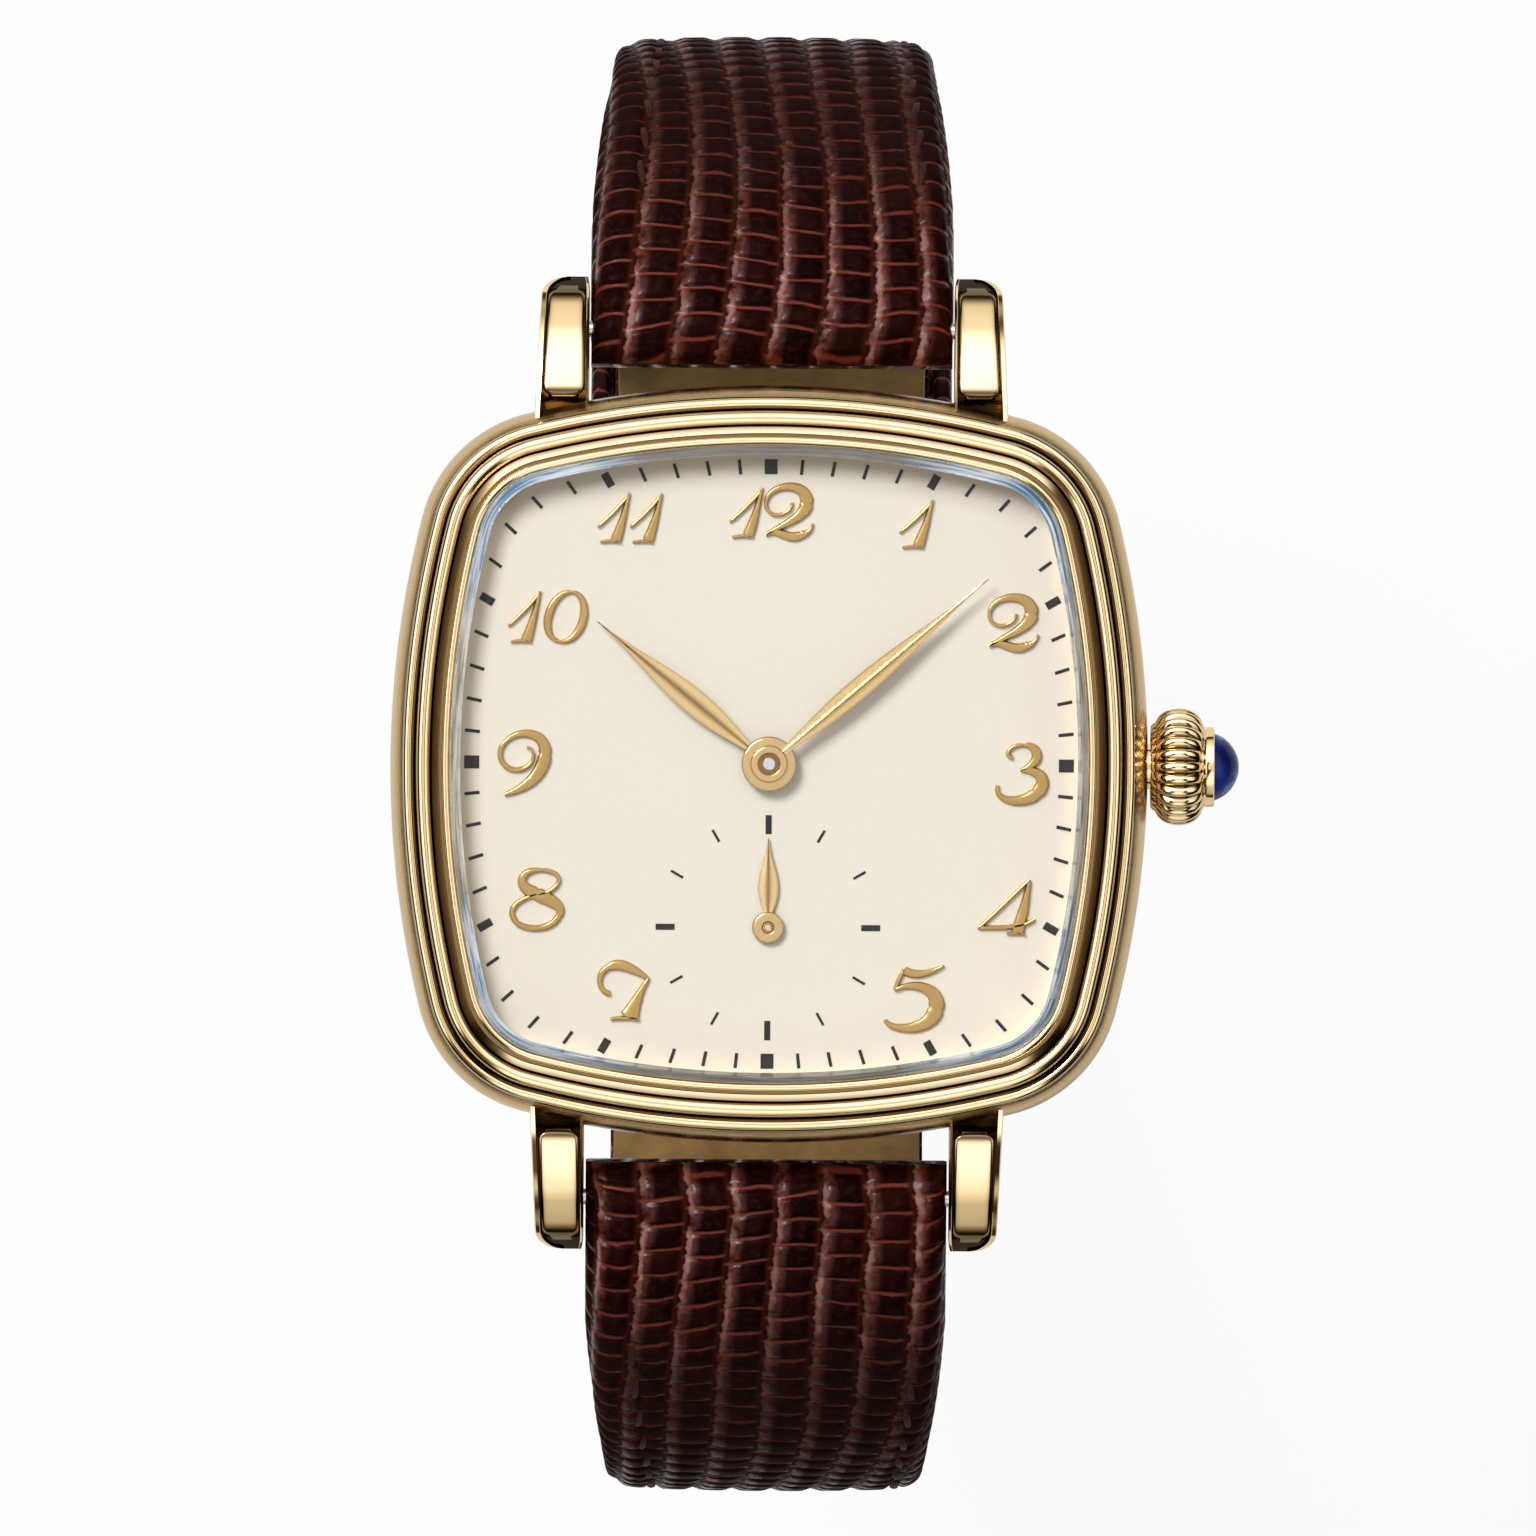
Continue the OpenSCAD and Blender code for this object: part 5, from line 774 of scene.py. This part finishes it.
# Each numeral: its centre, the widths of its digits, its height against the usual one, and its digits.
NUMERALS = [((0.04, 12.4), (1.67, 2.5), 0.96, (ONE, TWO)), ((7.2, 11.9), (1.67,), 0.93, (ONE,)),
            ((11.98, 7), (2.55,), 0.98, (TWO,)), ((12.42, -0.35), (2.58,), 1.1, (THREE,)),
            ((11.8, -7), (2.94,), 1.07, (FOUR,)), ((7.2, -11.45), (3,), 1.2, (FIVE,)),
            ((-7.1, -11.3), (2.62,), 1.09, (SEVEN,)), ((-11.45, -6.75), (2.6,), 1.15, (EIGHT,)),
            ((-12.12, -0.1), (2.62,), 1.2, (NINE,)), ((-10.9, 7.2), (1.6, 2.45), 1, (ONE, ZERO)),
            ((-6.95, 12.1), (1.6, 1.6), 0.95, (ONE, ONE))]
NUMERAL_HEIGHT, NUMERAL_RISE, NUMERAL_FOOT = 2.6, 0.22, Z_DIAL - 0.01


def add_stroke(form, stroke, corner, size):
    """A pen stroke with a rounded top: it swells and thins along its length."""
    p = np.array(stroke[:8]).reshape(4, 2) / 100 * size + corner
    widths = np.array(stroke[8:]) / 100
    rows, depths = [], []
    for t in np.linspace(0, 1, 22):
        spot, way = bezier(t, *p), bezier(t, *np.diff(p, axis=0))
        way = way / np.linalg.norm(way)
        across = np.array([-way[1], way[0]])
        half = bezier(t, *widths) / 2 * np.linalg.norm(across * size)
        half = half * min(1.0, 0.8 + 10 * min(t, 1 - t)) * 1.1 + 0.012
        slope = min(0.1, half * 0.6) / half
        line, shade = [], []
        for u in np.concatenate([np.linspace(-1, slope - 1, 5), [0], np.linspace(1 - slope, 1, 5)]):
            rise = NUMERAL_RISE * sin(min(1.0, (1 - abs(u)) / slope) * pi / 2) ** 0.8
            line.append((*(spot + across * half * u), Z_DIAL + 0.03 + rise))
            # painted shade on the stroke's edges, most on those turned to the lower right, away from the
            # light; the foot is painted dark
            away = max(0.0, across @ (0.7, -0.7) * np.sign(u))
            shade.append(max(0.0, (abs(u) - 1 + slope) / slope) * (0.3 + 0.6 * away))
        rows.append(line + [(*(spot + across * half * side), NUMERAL_FOOT) for side in (1, -1)])
        depths.append(shade + [0.9] * 2)
    form.grid(rows, caps=True, depths=depths)


def make_numerals():
    form = Form()
    for (x, y), widths, factor, digits in NUMERALS:
        x -= sum(widths) / 2
        height = NUMERAL_HEIGHT * factor
        for width, strokes in zip(widths, digits):
            for stroke in strokes:
                add_stroke(form, stroke, np.array([x, y - height / 2]), np.array([width, height]))
            x += width
    form.build("applied_numerals", "case", [MATT], ["hour_numerals"], sharp=50)


# ---- hands

def add_turned(form, spot, profile, steps, axis="z", caps=True, **how):
    """A turned form: profile of (radius, height) round a vertical line, or along X."""
    rows, a = [], circle(steps)
    for radius, height in profile:
        ring, level = [spot[0] + radius * np.cos(a), spot[1] + radius * np.sin(a)], [np.full(steps, height)]
        rows.append(np.column_stack(ring + level if axis == "z" else level + ring))
    form.grid(rows, caps=caps, **how)


LEAF = (-1, -0.75, -0.45, -0.2, -0.08, 0, 0.08, 0.2, 0.45, 0.75, 1)  # places across a hand's leaf
# painted shade on the hub's side, lighter on its top, and dark down in its recess
HUB_PAINTED_SHADE = np.vstack([0.9, 0.9, 0.9, 0.8, 0.6, 0.4, 0.3, 0.28, 0.28, 0.28, 0.3, 0.5, 0.7, 0.9, 0.95, 0.9])


def make_hand(name, spot, angle, low, leaf, hub, thick, lit=False):
    """A leaf (start, end, width) with a sharp spine in painted shade, on a hub (radius, sunk radius).

    A lit hand points along the light: its leaf is flatter, and one flank is darker with painted shade.
    """
    form = Form()
    (start, end, width), (boss, recess) = leaf, hub
    out, aside = toward(radians(angle))
    drops = [0.72 * abs(u) + 0.28 * min(1.0, abs(u) / 0.2) for u in LEAF]
    rows, depths = [], []
    for t in np.linspace(0, 1, 56):
        half = width / 2 * sin(pi * min(t, 0.9999) ** 0.76) ** 1.8 + 0.14 * (1 - t) ** 2 + 0.03
        spine = spot + out * (start + (end - start) * t)
        edge, top = low + 0.11, low + 0.1 + (0.5 if lit else 1.0) * thick * min(1.0, 0.3 + half)
        line = [(*(spine + aside * half * u), top - (top - edge) * drop) for u, drop in zip(LEAF, drops)]
        rows.append([(*(spine - aside * half), low)] + line + [(*(spine + aside * half), low)])
        # painted shade along the spine, towards the tip, on the outer edges and on a lit hand's one flank
        dark = [0.85 * exp(-(u / 0.26) ** 2) + 0.5 * t ** 5 + 0.14 * (1 + u) * lit
                + 0.4 * max(0.0, abs(u) - 0.75) / 0.25 for u in LEAF]
        depths.append([0.5] + dark + [0.5])
    form.grid(rows, caps=True, depths=depths)
    top = low + thick + 0.17
    profile = ([(boss, low), (boss, top - 0.15)] + arc((boss - 0.13, top - 0.13), 0.13, 0, 90, 5)
               + arc((recess + 0.06, top - 0.06), 0.06, 90, 180, 5) + [(recess, top - 0.2), (0.1, top - 0.2)])
    add_turned(form, spot, profile, 64, depths=HUB_PAINTED_SHADE)
    form.build(name + "_hand_leaf", name, [FACET], [name + "_hand"], sharp=25)


def make_pin(name, body, finish, spot, profile, steps):
    form = Form()
    add_turned(form, spot, profile, steps)
    form.build(name, body, [finish])


def make_hands():
    centre = np.array([0, 0])
    make_hand("hour", centre, angle=140.7, low=7.08, leaf=(1.0, 11, 1.11), hub=(1.36, 0.6), thick=0.19)
    make_hand("minute", centre, angle=40.5, low=7.46, leaf=(0.7, 14.2, 0.89), hub=(0.92, 0.55), thick=0.2,
              lit=True)
    make_hand("seconds", SECONDS_SPOT, angle=90, low=6.74, leaf=(0.5, 4.4, 0.84), hub=(0.78, 0.3), thick=0.15)
    make_pin("centre_pin", "minute", STEEL, centre,
             [(0.34, 7.4), (0.34, 7.76), (0.29, 7.81), (0.0, 7.83)], 40)
    make_pin("seconds_pin", "seconds", FACET, SECONDS_SPOT,
             [(0.2, 6.7), (0.2, 6.98), (0.15, 7.03), (0.0, 7.05)], 32)


# ---- crown

CROWN_FOOT, STEM_Z = 18.87, 3.9
FLUTES, FLUTE_DEPTH, FLUTE_STEPS = 26, 0.27, 14
STONE_BASE, STONE_RADIUS, STONE_RISE = CROWN_FOOT + 2.75, 1.675, 1.25


def make_crown():
    """Onion crown with rounded flutes painted dark as shade between them, a plain ring and a polished stone.
    """
    form = Form()
    groove = 1 - np.abs(np.sin(circle(FLUTES * FLUTE_STEPS) * FLUTES / 2))
    profile = [(0.0, 0.02, 0), (1.5, 0.0, 0), (2.0, 0.02, 0.1), (2.14, 0.12, 0.25)]
    for turned in np.linspace(-72, 74, 21):
        a = radians(turned)
        depth = cos(radians(min(90, abs(turned) * 1.15))) ** 0.5
        profile.append((1.65 + 1.26 * cos(a) ** 0.7, 1.42 + 1.22 * sin(a), depth))
    profile += [(1.98, 2.68, 0), (1.95, 2.75, 0), (1.97, 2.8, 0), (1.97, 3.12, 0), (1.9, 3.17, 0),
                (1.82, 3.13, 0), (1.79, 2.8, 0), (0.0, 2.75, 0)]
    rings = [(radius - FLUTE_DEPTH * depth * groove ** 1.2, CROWN_FOOT + along)
             for radius, along, depth in profile]
    # painted shade in the hollows between the flutes
    depths = [0.95 * min(1.0, depth * 2) * groove ** 1.4 for _, _, depth in profile]
    add_turned(form, (0, STEM_Z), rings, FLUTES * FLUTE_STEPS, axis="x", depths=depths)
    form.build("crown_onion", "crown_knob", [GOLD], ["crown"], sharp=40)
    form = Form()
    sphere = (STONE_RADIUS ** 2 + STONE_RISE ** 2) / (2 * STONE_RISE)
    centre = STONE_BASE + 0.4 + STONE_RISE - sphere
    profile = [(0.0, STONE_BASE + 0.05), (1.7, STONE_BASE + 0.05), (1.7, STONE_BASE + 0.36)]
    profile += [(sphere * sin(a), centre + sphere * cos(a))
                for a in np.linspace(asin(1.68 / sphere), 0.0, 22)]
    add_turned(form, (0, STEM_Z), profile, 64, axis="x")
    form.build("crown_stone", "crown_knob", [LAPIS], ["crown_cabochon"], sharp=40)


# ---- strap

BAR_Y, BAR_Z, LEAN = 21.5, 2.5, 25.0  # the spring bar, and how far a half dips as it leaves it, in degrees
BEND, BEND_LENGTH = 22.862, 25.936  # the first bend, which ends heading straight down
EYE = 1.9  # radius of the leather round the spring bar
LINING_FROM, LINING_SHORT, LINING_THICK, TIP_LENGTH = 4.5, 3.2, 0.9, 14
HOLES, HOLE_FROM, HOLE_STEP, HOLE_RADIUS, HOLE_DEPTH = 7, 17, 6, 0.9, 2.2
SCALE_WIDTH, SCALE_LENGTH, SCALE_HEIGHT = 2.35, 1.32, 0.15
CHANNELS = {-1: 2.35, 1: 1.5}  # how far inside each side the stitches run
CHANNEL_DEPTH, CHANNEL_WIDTH = 0.14, 0.28
STITCH_FROM, STITCH_STEP, STITCH_LENGTH, STITCH_HALF = 8.0, 2.45, 1.85, 0.2
BULGE = 0.10  # share by which the leather is thinner towards its sides


class Half:
    """A strap half: it leans away from its spring bar, bends down, bends on and ends straight."""

    def __init__(self, name, mirror, bend, last):
        self.name, self.mirror, self.second, self.last = name, mirror, bend, last

    def route(self, s):
        """Place (y, z), not mirrored yet, and heading in radians at distances s along the half."""
        s = np.asarray(s, float)
        first = s < BEND_LENGTH
        heading = np.where(first, LEAN + np.degrees(s / BEND),
                           np.minimum(self.last, 90 + np.degrees((s - BEND_LENGTH) / self.second)))
        a, lean, last = np.radians(np.where(s < 0, LEAN, heading)), radians(LEAN), radians(self.last)
        y1 = BAR_Y + BEND * (np.sin(a) - sin(lean))
        z1 = BAR_Z + BEND * (np.cos(a) - cos(lean))
        over = np.maximum(0, s - BEND_LENGTH - self.second * radians(self.last - 90))
        y2 = BAR_Y + BEND * (1 - sin(lean)) + self.second * (np.sin(a) - 1) + over * cos(last)
        z2 = BAR_Z - BEND * cos(lean) + self.second * np.cos(a) - over * sin(last)
        back = np.minimum(s, 0)
        return (np.where(first, y1, y2) + back * cos(lean),
                np.where(first, z1, z2) - back * sin(lean), a)

    def stand(self, s):
        """One place on the half: the point, the way along it and the way out of it."""
        y, z, a = (float(v) for v in self.route(s))
        return (np.array([0, self.mirror * y, z]), np.array([0, self.mirror * cos(a), -sin(a)]),
                np.array([0, self.mirror * sin(a), cos(a)]))


UPPER, LOWER = Half("upper", 1, 38.7, 130), Half("lower", -1, 45, 140)


def outer_half(s):
    return np.interp(s, [0, 7, 20, 40, 120], [1.9, 2.3, 1.9, 1.45, 1.35])


def inner_half(s):
    return np.interp(s, [0, 7, 40, 120], [1.9, 1.7, 1.3, 1.2])


def half_width(z):
    return np.interp(z, [-20, -14, -10, -4, -1.5], [8.0, 8.05, 8.23, 8.75, 8.95])


def tip_width(s, stop):
    """Share of the width that the point of the tail leaves."""
    return np.sqrt(np.clip(1 - (1 - np.clip((stop - s) / TIP_LENGTH, 0, 1)) ** 2.1, 0.0004, 1))


def scale_marks(a, s, seed):
    """Numbers that count the leather's columns and rows of scales at places a across and s along."""
    width = SCALE_WIDTH - 0.012 * np.clip(s, 0, 50)
    bow = 0.16 * s + 0.5 * np.sin(s / 9 + seed) + 0.25 * np.sin(s / 3.7 + a / 5 + 2 * seed)
    along = s / SCALE_LENGTH + 0.12 * np.sin(a / 2.3 + seed) + 0.2 * np.sin(s / 6 + a / 4) + seed * 3
    return (a - bow + 40) / width, along


def scale_relief(across, along):
    """Height of the scales in millimetres, low in the grooves and round on top."""
    fu, fv = across % 1, (along + (np.floor(across) * GOLDEN_SHARE) % 1) % 1
    du, dv = np.minimum(fu, 1 - fu) * 2.2, np.minimum(fv, 1 - fv) * 1.3
    return SCALE_HEIGHT * ease(du, 0, 0.6) * ease(dv, -0.06, 0.34) - 0.1


def mesh_normals(points):
    n = np.cross(np.gradient(points, axis=0), np.gradient(points, axis=1))
    return n / np.maximum(np.linalg.norm(n, axis=2, keepdims=True), 1e-9)


def strap_leather(form, half, stop, seed, tail=False, lobe=None, start=None, loop=0.0):
    """The padded leather of a half up to the distance stop; a lobe is one side of the buckle's loop."""
    wrap = [] if lobe else list(-EYE * np.cos(np.linspace(0.04, pi / 2, 9)))[:-1]
    s = np.array(wrap + list(np.arange(start or 0.0, stop, 0.2)) + [stop])
    if loop:
        s = np.concatenate([s, stop + loop * np.sin(np.linspace(0, pi / 2, 10))[1:]])
    y, z, a = half.route(s)
    cap = np.sqrt(np.maximum(0.0, EYE ** 2 - s ** 2))
    top = np.where(s < 0, cap, outer_half(s))
    under = np.where(s < 0, cap, inner_half(s) - np.where(s < LINING_FROM, 0, LINING_THICK))
    if loop:
        near = ease(s, stop - 4, stop)
        around = np.sqrt(np.maximum(0.0004, loop ** 2 - np.maximum(0, s - stop) ** 2))
        top = np.where(s > stop, around, top * (1 - near) + loop * near)
        under = np.where(s > stop, around, np.where(s > stop - LINING_SHORT, loop, under))
    width = half_width(z)
    if tail:
        width = width * tip_width(s, stop)
        pinch = np.clip((stop - s) / 0.8, 0.02, 1) ** 0.5
        top, under = top * pinch, under * pinch
    edge = 1 - 0.14 * (1 - np.sin(np.linspace(0, pi / 2, 13)[1:]))
    q = np.concatenate([-edge[::-1], np.linspace(-0.86, 0.86, 76), edge])
    crown = (1 - BULGE * q ** 2) * (1 - np.abs(q) ** 15) ** (1 / 2.2)
    x = width[:, None] * q
    if lobe:
        x = np.tile((lobe[0] + lobe[1]) / 2 + (lobe[1] - lobe[0]) / 2 * q, (len(s), 1))
    out = np.stack([a * 0, np.sin(a), np.cos(a)], -1)[:, None, :]
    spine = np.stack([a * 0, y, z], -1)[:, None, :]
    points = x[..., None] * (1, 0, 0) + spine + (top[:, None] * crown)[..., None] * out
    run = np.cumsum(np.linalg.norm(np.diff(points, axis=1, prepend=points[:, :1]), axis=2), axis=1)
    across, along = scale_marks(x if lobe else run - run[:, run.shape[1] // 2][:, None], s[:, None], seed)
    relief = scale_relief(across, along)
    if not lobe:
        sewn = ease(s, 5, 7) * ease(s, stop - 2, stop - 4)
        for side, inset in CHANNELS.items():
            gap = side * x - (width[:, None] - inset)
            relief = relief - CHANNEL_DEPTH * np.exp(-(gap / CHANNEL_WIDTH) ** 2) * sewn[:, None]
    fade = np.clip(crown / 0.5, 0, 1) * ease(s, -2.0, -0.6)[:, None]
    normals = mesh_normals(points)
    facing = np.where(np.sum(normals * out, -1, keepdims=True) < 0, -1, 1)
    points = points + normals * facing * (relief * fade)[..., None]
    if tail:
        for k in range(HOLES):
            away = np.hypot(x, s[:, None] - (stop - HOLE_FROM - HOLE_STEP * k))
            points = points - HOLE_DEPTH * ease(HOLE_RADIUS - away, 0.0, 0.12)[..., None] * out
    right, left = x[:, -1], x[:, 0]
    foot = np.stack([right, right, right * 0.985, left * 0.985, left, left], 1)
    drop = under[:, None] * (0.45, 0.9, 1.0, 1.0, 0.9, 0.45)
    points = np.concatenate([points, foot[..., None] * (1, 0, 0) + spine - drop[..., None] * out], 1)
    ends = [-1, -1, -1, 0, 0, 0]
    across = np.concatenate([across, across[:, ends] + (0.2, 0.6, 0.8, -0.8, -0.6, -0.2)], 1)
    along = np.concatenate([along, along[:, ends]], 1)
    form.grid(points * (1, half.mirror, 1), caps=True, marks=np.stack([across, along, along * 0], -1))


LINING_LINE = [(-1, 0.93), (1, 0.93), (1, 0.12), (0.985, 0.0), (0.6, -0.02), (-0.6, -0.02), (-0.985, 0.0),
               (-1, 0.12)]


def strap_lining(form, half, stop, tail):
    end = stop - LINING_SHORT
    rows = []
    for s in np.append(np.arange(LINING_FROM, end, 1.0), end):
        spot, _, out = half.stand(s)
        width = (half_width(spot[2]) - 0.15) * (tip_width(s, stop) if tail else 1)
        rows.append([spot + (width * u, 0, 0) + (h - inner_half(s)) * out for u, h in LINING_LINE])
    form.grid(rows, caps=True)


def add_stitch(form, spot, along, out):
    """One stitch: a short capsule of thread lying in the leather."""
    aside = np.cross(along, out)
    rows = []
    for t in np.linspace(-1, 1, 7):
        size = STITCH_HALF * max(0.12, (1 - abs(t) ** 3) ** 0.5)
        middle = spot + along * t * STITCH_LENGTH / 2 - out * 0.16 * abs(t) ** 2.5
        rows.append([middle + size * (cos(b) * aside + 0.75 * sin(b) * out) for b in circle(8)])
    form.grid(rows, caps=True)


def strap_stitches(form, half, stop):
    for s in np.arange(STITCH_FROM, stop, STITCH_STEP):
        spot, along, out = half.stand(s)
        width = half_width(spot[2])
        for side, inset in CHANNELS.items():
            x = side * (width - inset)
            lift = outer_half(s) * (1 - BULGE * (x / width) ** 2) - 0.12
            slant = along + (0.12 * side, 0, 0)
            add_stitch(form, spot + (x, 0, 0) + out * lift, slant / np.linalg.norm(slant), out)


def make_strap(half, length, leather_to, sewn_to, seed, lobes=(), tail=False):
    """One half: its leather with the lobes of the buckle's loop, its lining and its stitches."""
    name, body = "strap_" + half.name, half.name + "_half"
    form = Form()
    strap_leather(form, half, leather_to, seed, tail)
    for lobe in lobes:
        strap_leather(form, half, length, seed, lobe=lobe, start=71.5, loop=1.6)
    form.build(name + "_lizard", body, [LEATHER], [name], mark="skin", sharp=60)
    form = Form()
    strap_lining(form, half, length, tail)
    form.build(name + "_hide", body, [LINING], [name + "_lining"], sharp=50)
    form = Form()
    strap_stitches(form, half, sewn_to)
    form.build(name + "_stitches", body, [THREAD])


KEEPER_HALF, KEEPER_CORNER, KEEPER_THICK, KEEPER_ROOM = 7.9, 0.9, 0.96, 2.7


def make_keeper(name, body, s, length):
    """A leather loop round the strap: a flat band bent into a rounded rectangle."""
    spot, along, out = UPPER.stand(s)
    low, high = 0.1 - inner_half(s), outer_half(s) + KEEPER_ROOM
    path = []
    for cx, cz, begin in ((KEEPER_HALF, high, 0), (-KEEPER_HALF, high, 90), (-KEEPER_HALF, low, 180),
                          (KEEPER_HALF, low, 270)):
        for b in np.radians(np.linspace(begin, begin + 90, 9)):
            nx, nz = cos(b), sin(b)
            path.append((cx + KEEPER_CORNER * nx, cz + KEEPER_CORNER * nz, nx, nz))
    dense = []
    for here, there in zip(path, path[1:] + path[:1]):
        count = max(1, int(dist(here[:2], there[:2]) / 0.3))
        dense += [[h + (w - h) * i / count for h, w in zip(here, there)] for i in range(count)]
    rows, marks, run = [], [], 0.0
    for k, (px, pz, nx, nz) in enumerate(dense):
        if k:
            run += dist((px, pz), dense[k - 1][:2])
        line, mark = [], []
        for b in circle(40):
            c, d = cos(b), sin(b)
            w = length / 2 * copysign(abs(c) ** 0.35, c)
            h = KEEPER_THICK / 2 * copysign(abs(d) ** 0.6, d)
            line.append(spot + (px + nx * h, 0, 0) + out * (pz + nz * h) + along * w)
            mark.append((w / 2.2 + 10.4, run / 1.3, 0))
        rows.append(line)
        marks.append(mark)
    form = Form()
    form.grid(rows, ring_rows=True, marks=marks)
    form.build(name + "_loop", body, [LEATHER], [name], mark="skin", sharp=60)


# ---- buckle

BUCKLE = np.array([0, 11.475, -59.984])
BOW_HALF, BOW_TURN, BOW_FOOT = 9.1, 2.2, 8.75


def add_tube(form, path, sides):
    """A soft-cornered tube; each place of its path is a point, two half widths and the way across."""
    rows = []
    for point, wide, thick, across in path:
        line = []
        for b in circle(sides):
            c, d = (copysign(abs(v) ** 0.75, v) for v in (cos(b), sin(b)))
            line.append(BUCKLE + point + np.array(across) * wide * c + (0, thick * d, 0))
        rows.append(line)
    form.grid(rows, caps=True)


def make_buckle():
    path = [(BOW_HALF, z) for z in np.linspace(1.15, -6.4, 16)]
    path += [(BOW_HALF - BOW_TURN * (1 - cos(b)), -6.55 - BOW_TURN * sin(b))
             for b in np.linspace(0.0, pi / 2, 14)]
    path += [(x, -BOW_FOOT) for x in np.linspace(6.4, 0, 12)]
    path += [(-x, z) for x, z in reversed(path[:-1])]
    bow = []
    for k, (x, z) in enumerate(path):
        way = np.subtract(path[min(len(path) - 1, k + 1)], path[max(0, k - 1)])
        way = way / np.linalg.norm(way)
        cap = rounded((min(k, len(path) - 1 - k) + 0.15) / 2.2)
        wide = 0.85 + 0.38 * ease(-z, 5.0, 8.7)
        bow.append(((x, 0, z), wide * cap, 0.88 * cap, (way[1], 0, -way[0])))
    form = Form()
    add_tube(form, bow, 28)
    form.build("buckle_bow", "frame", [GOLD], ["buckle_frame"], sharp=50)
    form = Form()
    profile = [(0.8, -0.86), (1.35, -0.86), (1.45, -0.76), (1.45, 0.76), (1.35, 0.86), (0.8, 0.86)]
    add_turned(form, BUCKLE[1:], profile, 40, axis="x", caps=False, ring_rows=True)
    blade = [(1.1, 0.2), (1.25, -0.4), (1.38, -1.2)] + [(1.38, z) for z in np.linspace(-2.0, -8.8, 16)]
    blade += [(1.36, -9.2), (1.3, -9.45), (1.22, -9.58)]
    closing = [1] * (len(blade) - 3) + [0.9, 0.65, 0.2]
    add_tube(form, [((0, y, z), (0.84 - 0.2 * k / (len(blade) - 1)) * close, 0.36 * close, (1, 0, 0))
                    for k, ((y, z), close) in enumerate(zip(blade, closing))], 20)
    form.build("buckle_prong", "tongue", [GOLD], ["buckle_tongue"], sharp=50)


make_case()
make_lugs()
make_bezel()
make_crystal()
make_tracks()
make_numerals()
make_hands()
make_crown()
make_strap(UPPER, length=75.0, leather_to=71.9, sewn_to=62.5, seed=0.0, lobes=((-7.95, -1.25), (1.25, 7.95)))
make_strap(LOWER, length=115.0, leather_to=115.0, sewn_to=100, seed=1.7, tail=True)
make_keeper("keeper_fixed", "upper_half", s=67.0, length=4.5)
make_keeper("keeper_free", "loose_keeper", s=56.45, length=4.0)
make_buckle()


# ---- finishes of the CAD nodes that stay

NO_PINION, DARK_STEEL = 0.1, ((0.2, 0.21, 0.24), (0.4, 0.41, 0.44))
BARREL_SPOT = (2.7555, 5.9091)
WHEELS = {"ratchet_wheel": ("steel_ratchet", BARREL_SPOT, NO_PINION, *DARK_STEEL),
          "crown_wheel": ("steel_crown_wheel", (7.4, 0), NO_PINION, *DARK_STEEL),
          "barrel": ("brass_barrel", BARREL_SPOT, NO_PINION),
          "barrel_cover": ("brass_cover", BARREL_SPOT, NO_PINION),
          "center_wheel": ("brass_center", (0, 0), 1.05),
          "third_wheel": ("brass_third", (3.3406, -4.8024), 0.88),
          "fourth_wheel": ("brass_fourth", SECONDS_SPOT, 0.83),
          "balance_wheel": ("gold_balance", (-7.8578, -2.589), 0.4),
          "minute_wheel": ("brass_minute", (2.7063, 0.985), 0.9),
          "hour_wheel": ("brass_hour", (0, 0), NO_PINION)}
FINISHES = [(IVORY, "dial"), (RUBBER, "gaskets crown_gasket"), (TURNED, "case_back movement_ring"),
            (CLEAR, "window_glass_disc"), (GOLD, "crown_tube"), (PEARLED, "mainplate"), (RUBY, "jewels"),
            (STRIPED, "barrel_bridge train_bridge balance_cock pallet_bridge"), (BLUED, "balance_spring"),
            (STEEL, "screws winding_stem winding_pinion sliding_pinion setting_lever yoke setting_wheel "
                    "mainspring click click_spring barrel_arbor escape_wheel pallet_fork regulator "
                    "cannon_pinion spring_bars upper_bar_tip lower_bar_tip buckle_bar")]
FINISHES += [(wheel_metal(*turned), node) for node, turned in WHEELS.items()]
for finish, nodes in FINISHES:
    for node in nodes.split():
        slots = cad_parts[node].data.materials
        for index in range(len(slots)):
            slots[index] = finish
        if not len(slots):
            slots.append(finish)

scene.view_settings.view_transform = "Standard"
